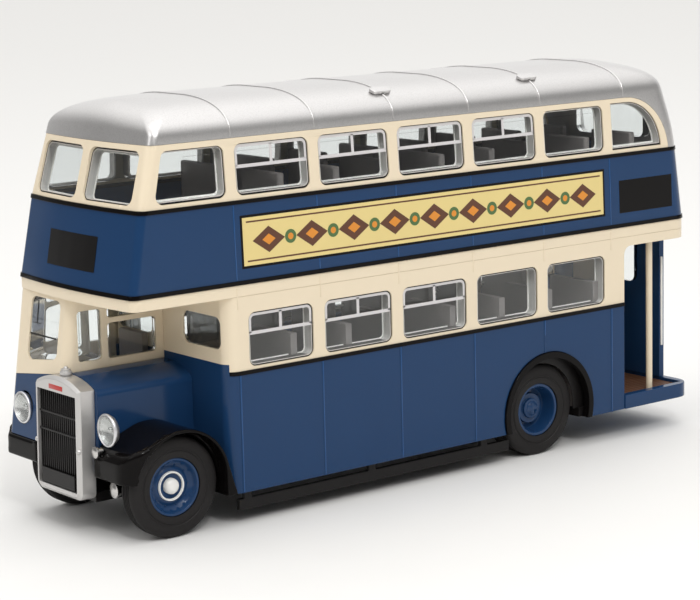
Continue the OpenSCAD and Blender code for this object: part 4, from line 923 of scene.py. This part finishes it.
class BUS_OT_pane_edges(bpy.types.Operator):
    """Adds the cut edges of the clear inserts, their inner rims with a painted highlight, their sills and the gaps
    round them in painted shade
    """

    bl_idname = "bus.pane_edges"
    bl_label = "Pane edges"

    def rings(self, inset, width, low_depth, up_depth, low_start=0.0, up_start=0.0):
        """A ring in each side window, inset from its edge, from a start behind the pane's face inwards."""

        def ring(front_x, length, low, height, *rest):
            """Edge of one upright pane."""
            face = plate("edge", front_x - length + inset, front_x - inset, low + inset, low + height - inset)
            return rounded_ring(face, WINDOW_R - inset, width)

        (mid_x, mid_z), r, front_x = UP_REAR_QUARTER
        r -= inset
        rear = [(front_x - inset, mid_z + inset), (front_x - inset, mid_z + r),
                *rear_arc(mid_x, mid_z, r, range(0, 90, 6)), (mid_x - r, mid_z + inset)]
        face_y = HALF_W - PANE_RECESS + PANE_PROUD
        low_y, up_y = face_y - low_start - low_depth / 2, face_y - BELT_LEAN - up_start - up_depth / 2
        lean = lean_of(BAND_LEAN, BAND_H)
        low = join("low_edges", [ring(*w) for w in LOW_WINDOWS + LOW_PLAIN])
        low = onto_side(low, low_y, 0, 0, low_depth)
        off = onto_side(ring(*LOW_OFF_ONLY), low_y, 0, 0, low_depth)
        off.data.transform(moved(0, -2 * low_y, 0))
        up = join("up_edges", [ring(*w) for w in UP_WINDOWS + UP_PLAIN]
                  + [rounded_ring(polygon("front", self.front_quarter(inset)), WINDOW_R - inset, width),
                     rounded_ring(polygon("rear", rear), 0, width)])
        up = onto_side(up, up_y, BELT_TOP_Z, lean, up_depth)
        return [*both_sides(low), off, *both_sides(up), *self.front(inset, width, up_depth, up_start)]

    def front(self, inset, width, depth, start):
        """The same rings in both halves of the upper front."""
        inner, outer, low, height = FRONT_PANE
        pair = []
        for s in (1, -1):
            y0, y1 = sorted((s * inner, s * outer))
            face = rounded_ring(plate("front", y0 + inset, y1 - inset, low + inset, low + height - inset),
                                WINDOW_R - inset, width)
            thick(face, depth).data.transform(
                moved(DECK_FRONT_X + FRONT_BOW, 0, BELT_TOP_Z) @ turned(s * FRONT_TURN, "Z")
                @ turned(-FRONT_RAKE, "Y") @ turned(90, "Z")
                @ moved(0, PANE_RECESS + start + depth / 2 - PANE_PROUD, 0))
            pair.append(face)
        return pair

    def sills(self):
        """Thin dark strips of painted shade that lie on the lower edges of the side panes, behind their faces."""

        def sill(front_x, length, low, *rest):
            """Strip of one pane."""
            foot = low + PANE_GAP + 0.1
            return plate("sill", front_x - length + WINDOW_R, front_x - WINDOW_R, foot, foot + 0.03)

        face_y = HALF_W - PANE_RECESS - 0.05
        low_depth, up_depth = LOW_PANE_DEPTH - 0.15, UP_PANE_DEPTH - 0.15
        low = onto_side(join("low_sills", [sill(*w) for w in LOW_WINDOWS + LOW_PLAIN]),
                        face_y - low_depth / 2, 0, 0, low_depth)
        up = onto_side(join("up_sills", [sill(*w) for w in UP_WINDOWS + UP_PLAIN]),
                       face_y - BELT_LEAN - up_depth / 2, BELT_TOP_Z, lean_of(BAND_LEAN, BAND_H), up_depth)
        return both_sides(low) + both_sides(up)

    def front_quarter(self, inset):
        """Corners of the front quarter light, that far in from its edge."""
        (x0, z0), (x1, _), (x2, z2), _ = UP_FRONT_QUARTER
        slope = (x1 - x2) / (z2 - z0)
        across = math.hypot(1, slope)
        return [(x0 + inset, z0 + inset), (x1 - inset * (across + slope), z0 + inset),
                (x2 - inset * (across - slope), z2 - inset), (x0 + inset, z2 - inset)]

    def execute(self, context):
        edges = self.rings(PANE_GAP, 0.1, LOW_PANE_DEPTH, UP_PANE_DEPTH)
        settle(join("pane_edges", edges), BUS, "cut_polystyrene", closed=False)
        # Rims in a lighter colour: a painted highlight
        rims = self.rings(PANE_GAP + 0.02, 0.26, 0.1, 0.1, LOW_PANE_DEPTH, UP_PANE_DEPTH)
        settle(join("pane_rims", rims), BUS, "pane_rim", closed=False)
        # Dark sills along the panes' lower edges: painted shade
        settle(join("pane_sills", self.sills()), BUS, "pane_shade", closed=False)
        # Black rings in the gaps round the panes: painted shade
        gaps = self.rings(0.03, PANE_GAP - 0.03, 0.06, 0.06)
        settle(join("pane_gaps", gaps), BUS, "black_ink", closed=False)
        return {"FINISHED"}


class BUS_OT_cover_strips(bpy.types.Operator):
    """Lays thin cover strips over the joints of the lower panels, the belt and the cream band; the blue ones are
    painted lighter as a highlight
    """

    bl_idname = "bus.cover_strips"
    bl_label = "Cover strips"

    def strip(self, x, width, low, high, y, z, lean, depth):
        """One upright strip about a place along the side."""
        return onto_side(plate("strip", x - width / 2, x + width / 2, low, high), y, z, lean, depth)

    def execute(self, context):
        lean, margin, width = lean_of(BELT_LEAN, BELT_H), 0.35, 0.16
        blue, cream = [], []
        for x, foot in zip(STRIPS_X, LOW_STRIPS_Z):
            blue.append(self.strip(x, width, foot, WAIST_Z, LOW_STRIP_Y, 0, 0, 0.06))
            spans = [(margin, BELT_H - margin)]
            if PRINT_X[0] < x < PRINT_X[1]:
                spans = [(margin, PRINT_Z[0] - BELT_Z), (PRINT_Z[1] - BELT_Z, BELT_H - margin)]
            blue += [self.strip(x, width, low, high, HALF_W, BELT_Z, lean, 0.1) for low, high in spans]
            cream.append(self.strip(x, 0.22, *CREAM_STRIP_Z, HALF_W, 0, 0, 0.1))
        # The blue strips get the lighter blue: a painted highlight
        for name, slot, material, strips in (("blue_strips", "blue_paint", "thin_blue_enamel", blue),
                                             ("cream_strips", "cream_paint", "cream_enamel", cream)):
            kerb = join(name, strips)
            modify(kerb, "BEVEL", width=0.025 * MM, segments=2)
            settle(join(name, both_sides(kerb)), BUS, material)
        return {"FINISHED"}


class BUS_OT_side_panels(bpy.types.Operator):
    """Prints a plain frieze of lozenges and roundels on both sides of the belt"""

    bl_idname = "bus.side_panels"
    bl_label = "Side panels"

    def disc(self, x, z, radius):
        """A flat round spot in X and Z."""
        deselect()
        bpy.ops.mesh.primitive_circle_add(vertices=40, radius=radius * MM, fill_type="NGON",
                                          location=(x * MM, 0, z * MM), rotation=(math.radians(90), 0, 0))
        bpy.ops.object.transform_apply(location=True, rotation=True, scale=True)
        return bpy.context.object

    def lozenge(self, x, z, width, height):
        """A flat diamond in X and Z."""
        piece = plate("lozenge", -0.5, 0.5, -0.5, 0.5)
        shape = moved(x, 0, z) @ Matrix.Diagonal((width, 1, height, 1))
        piece.data.transform(shape @ turned(45, "Y") @ Matrix.Scale(math.sqrt(0.5), 4))
        return piece

    def execute(self, context):
        lift = sizes().print_lift / MM
        (x0, x1), (z0, z1) = PRINT_X, [z - BELT_Z for z in PRINT_Z]
        border, rule, margin, lean = 0.35, 0.22, 0.95, lean_of(BELT_LEAN, BELT_H)
        mid, count = (z0 + z1) / 2, 9
        step = (x1 - x0 - 2 * margin) / count
        spots = [x0 + margin + step * (i + 0.5) for i in range(count)]
        joints = [x0 + margin + step * i for i in range(1, count)]
        layers = [
            ("panel_border", "black_ink", "black_paint", [plate("p", x0, x1, z0, z1)]),
            ("panel_ground", "yellow_ink", "cream_paint",
             [plate("p", x0 + border, x1 - border, z0 + border, z1 - border)]),
            ("panel_lozenges", "brown_ink", "brown_plastic",
             [self.lozenge(x, mid, 5.4, 3.6) for x in spots]
             + [plate("p", x0 + margin, x1 - margin, z - rule / 2, z + rule / 2)
                for z in (z0 + margin, z1 - margin)]),
            ("panel_roundels", "green_ink", "blue_paint", [self.disc(x, mid, 0.95) for x in joints]),
            ("panel_middles", "orange_ink", "cream_paint",
             [self.disc(x, mid, 0.45) for x in joints] + [self.lozenge(x, mid, 2.2, 1.5) for x in spots]),
        ]
        for i, (name, ink, slot, flats) in enumerate(layers):
            kerb = onto_side(join(name, flats), HALF_W, BELT_Z, lean, lift * (1 + 0.6 * i))
            settle(join(name, both_sides(kerb)), BUS, ink, closed=False)
        return {"FINISHED"}


class BUS_OT_displays(bpy.types.Operator):
    """Sets blank black displays on the front and on the kerb side of the belt"""

    bl_idname = "bus.displays"
    bl_label = "Blank displays"

    def execute(self, context):
        lift = sizes().print_lift / MM
        side = onto_side(plate("side", *SIDE_DISPLAY), HALF_W, BELT_Z, lean_of(BELT_LEAN, BELT_H), 2 * lift)
        front = plate("front", *FRONT_DISPLAY)
        edit(front)
        bpy.ops.mesh.subdivide(number_cuts=15)
        leave_edit()
        # From well ahead of the belt, back on to its bowed face
        front.data.transform(moved(60, 0, 0) @ turned(90, "Z"))
        modify(front, "SHRINKWRAP", target=frame["nodes"]["upper_belt"], wrap_method="PROJECT",
               use_project_x=True, use_project_y=False, use_project_z=False, use_negative_direction=True,
               use_positive_direction=True, offset=lift * MM)
        modify(front, "SOLIDIFY", thickness=lift * MM, offset=0)
        settle(join("blank_displays", [side, front]), BUS, "black_ink")
        return {"FINISHED"}


class BUS_OT_radiator_trim(bpy.types.Operator):
    """Adds the plain red bar and the side studs of the radiator"""

    bl_idname = "bus.radiator_trim"
    bl_label = "Radiator trim"

    def execute(self, context):
        lean = moved(*RADIATOR_FOOT) @ turned(-RADIATOR_RAKE, "Y")
        bar = plate("bar", -1.75, 1.75, 14.45, 15.1)
        modify(thick(bar, 0.08), "BEVEL", width=0.03 * MM, segments=2)
        bar.data.transform(lean @ turned(90, "Z"))
        settle(join("radiator_bar", [bar]), BUS, "red_ink")
        dome = [(0, 0.3), (0.2, 0.26), (0.34, 0.12), (0.38, -0.2), (0, -0.2)]
        studs = [spun("stud", dome, (-0.12, y, 6.8), (1, 0, 0), steps=24) for y in (-5.35, 5.35)]
        piece = join("radiator_studs", studs)
        piece.data.transform(lean)
        settle(piece, BUS, "satin_plating", smooth=50)
        return {"FINISHED"}


class BUS_OT_cab_trim(bpy.types.Operator):
    """Adds the windscreen's level bar and the wiper"""

    bl_idname = "bus.cab_trim"
    bl_label = "Windscreen trim"

    def execute(self, context):
        # Slope of the cab's front, and a point of the screen's outer face
        lean = moved(50.98, 0, 25.75) @ turned(-8.5, "Y")
        # Level bar, wiper arm and blade from that point: ends across, lower and upper edge
        spans = ((-11.5, -4.0, -0.11, 0.11), (-9.4, -9.2, 1.6, 4.7), (-10.4, -8.3, 1.5, 1.62))
        flats = join("windscreen_trim", [plate("trim", *span) for span in spans])
        thick(flats, 0.1).data.transform(lean @ turned(90, "Z"))
        settle(flats, BUS, "black_abs")
        return {"FINISHED"}


class BUS_OT_handrail(bpy.types.Operator):
    """Sets the white handrail on the rear wall's edge beside the platform"""

    bl_idname = "bus.handrail"
    bl_label = "Platform handrail"

    def execute(self, context):
        rail = thick(plate("platform_handrail", *HANDRAIL), 0.34)
        modify(rail, "BEVEL", width=0.12 * MM, segments=4)
        rail.data.transform(moved(0, HANDRAIL_Y, 0))
        settle(rail, BUS, "hub_gloss_white", smooth=60)
        return {"FINISHED"}


class BUS_OT_cab_corner(bpy.types.Operator):
    """Closes the rounded corner between the cab and the saloon on the off side"""

    bl_idname = "bus.cab_corner"
    bl_label = "Cab corner"

    def execute(self, context):
        for name, slot, low, high in (("cab_corner_cream", "cream_paint", 21.5, 31.58),
                                      ("cab_corner_blue", "blue_paint", 11.5, 21.5)):
            strip = thick(plate(name, *CAB_CORNER_X, low, high), 0.3)
            modify(strip, "BEVEL", width=0.04 * MM, segments=2)
            strip.data.transform(moved(0, 0.14 - HALF_W, 0))
            settle(strip, BUS, SLOT_FINISH[slot])
        return {"FINISHED"}


class BUS_OT_stage(bpy.types.Operator):
    """Sets up the pale floor, the soft lights and the camera"""

    bl_idname = "bus.stage"
    bl_label = "Stage"

    def light(self, name, place, size, power):
        """A square soft box that looks at the model's middle."""
        target = (0, 0, 0.03)
        deselect()
        bpy.ops.object.light_add(type="AREA", location=place)
        lamp = bpy.context.object
        lamp.name = name
        lamp.data.size = size
        lamp.data.energy = power
        lamp.rotation_euler = (Vector(target) - Vector(place)).to_track_quat("-Z", "Y").to_euler()

    def execute(self, context):
        deselect()
        bpy.ops.mesh.primitive_plane_add(size=12)
        floor = context.object
        floor.name = "floor"
        floor.data.materials.append(finish("paper_sweep"))

        # Place and width in metres, and power in watts
        self.light("soft_box_top", (0.0, 0.1, 0.75), 0.6, 0.7)
        self.light("soft_box_kerb", (0.1, 0.6, 0.6), 0.45, 1.3)
        self.light("spark_kerb", (0.25, 0.5, 0.55), 0.07, 0.8)
        self.light("fill_front", (0.75, 0.05, 0.5), 0.4, 0.7)

        # Studio walls: bright overhead and behind the model, dimmer at eye level before it
        world = bpy.data.worlds.new("studio")
        world.use_nodes = True
        tree = world.node_tree
        tree.nodes.clear()
        direction = add_node(tree, "TexCoord").outputs["Generated"]
        part = add_node(tree, "SeparateXYZ", {"Vector": direction})
        level = add_node(tree, "MapRange", {
            "Value": part.outputs["Z"], "From Min": 0.38, "From Max": 0.85, "To Min": 0.24, "To Max": 1.45})
        away = add_node(tree, "VectorMath", {0: direction, 1: (-0.62, -0.78, 0.0)}, operation="DOT_PRODUCT")
        back = add_node(tree, "MapRange", {
            "Value": away.outputs["Value"], "From Min": 0.45, "From Max": 0.9, "To Min": 0.0, "To Max": 0.7})
        total = add_node(tree, "Math", {0: level.outputs["Result"], 1: back.outputs["Result"]}, operation="ADD")
        light = add_node(tree, "Background", {"Strength": total.outputs["Value"], "Color": (1.0, 0.995, 0.985, 1.0)})
        add_node(tree, "OutputWorld", {"Surface": light.outputs["Background"]})
        context.scene.world = world
        context.scene.view_settings.view_transform = "Standard"

        # The photograph's view: place in metres, then yaw, pitch and roll in radians
        place, yaw, pitch, roll = Vector((0.20267, 0.25628, 0.08357)), -2.232, 0.177, -0.025
        forward = Vector((math.cos(pitch) * math.cos(yaw), math.cos(pitch) * math.sin(yaw), -math.sin(pitch)))
        right = Vector((math.sin(yaw), -math.cos(yaw), 0))
        up = right.cross(forward)
        across = right * math.cos(roll) + up * math.sin(roll)
        upright = up * math.cos(roll) - right * math.sin(roll)
        deselect()
        bpy.ops.object.camera_add()
        camera = context.object
        camera.matrix_world = Matrix((
            (across.x, upright.x, -forward.x, place.x), (across.y, upright.y, -forward.y, place.y),
            (across.z, upright.z, -forward.z, place.z), (0, 0, 0, 1)))
        image_w, focal_px, sensor = 700, 2234.8, 36.0
        camera.data.sensor_width = sensor
        camera.data.lens = focal_px / image_w * sensor
        context.scene.camera = camera
        return {"FINISHED"}


OPERATORS = (
    BUS_OT_shell, BUS_OT_roof, BUS_OT_wings, BUS_OT_arch_liners, BUS_OT_seats, BUS_OT_running_gear, BUS_OT_glazing,
    BUS_OT_tyres, BUS_OT_hub_caps, BUS_OT_nuts, BUS_OT_headlamps, BUS_OT_window_prints, BUS_OT_pane_edges,
    BUS_OT_cover_strips, BUS_OT_side_panels, BUS_OT_displays, BUS_OT_radiator_trim, BUS_OT_cab_trim, BUS_OT_handrail,
    BUS_OT_cab_corner, BUS_OT_stage)


class BUS_PT_panel(bpy.types.Panel):
    """Lists the steps that dress the bus, with its colours and sizes"""

    bl_idname = "BUS_PT_panel"
    bl_label = "Double deck bus"
    bl_space_type = "VIEW_3D"
    bl_region_type = "UI"
    bl_category = "Bus"

    def draw(self, context):
        for operator in OPERATORS:
            self.layout.operator(operator.bl_idname)
        for group in (context.scene.bus_colours, context.scene.bus_sizes):
            box = self.layout.box()
            for key in group.__annotations__:
                box.prop(group, key)


CLASSES = (BusColours, BusSizes, *OPERATORS, BUS_PT_panel)


def register():
    """Registers the classes and the scene's settings."""
    for cls in CLASSES:
        bpy.utils.register_class(cls)
    bpy.types.Scene.bus_colours = PointerProperty(type=BusColours)
    bpy.types.Scene.bus_sizes = PointerProperty(type=BusSizes)


def unregister():
    """Removes the scene's settings and the classes."""
    del bpy.types.Scene.bus_sizes
    del bpy.types.Scene.bus_colours
    for cls in reversed(CLASSES):
        bpy.utils.unregister_class(cls)


def main():
    """Dresses the bus step by step."""
    register()
    for operator in OPERATORS:
        group, name = operator.bl_idname.split(".")
        getattr(getattr(bpy.ops, group), name)()


if __name__ == "__main__":
    main()
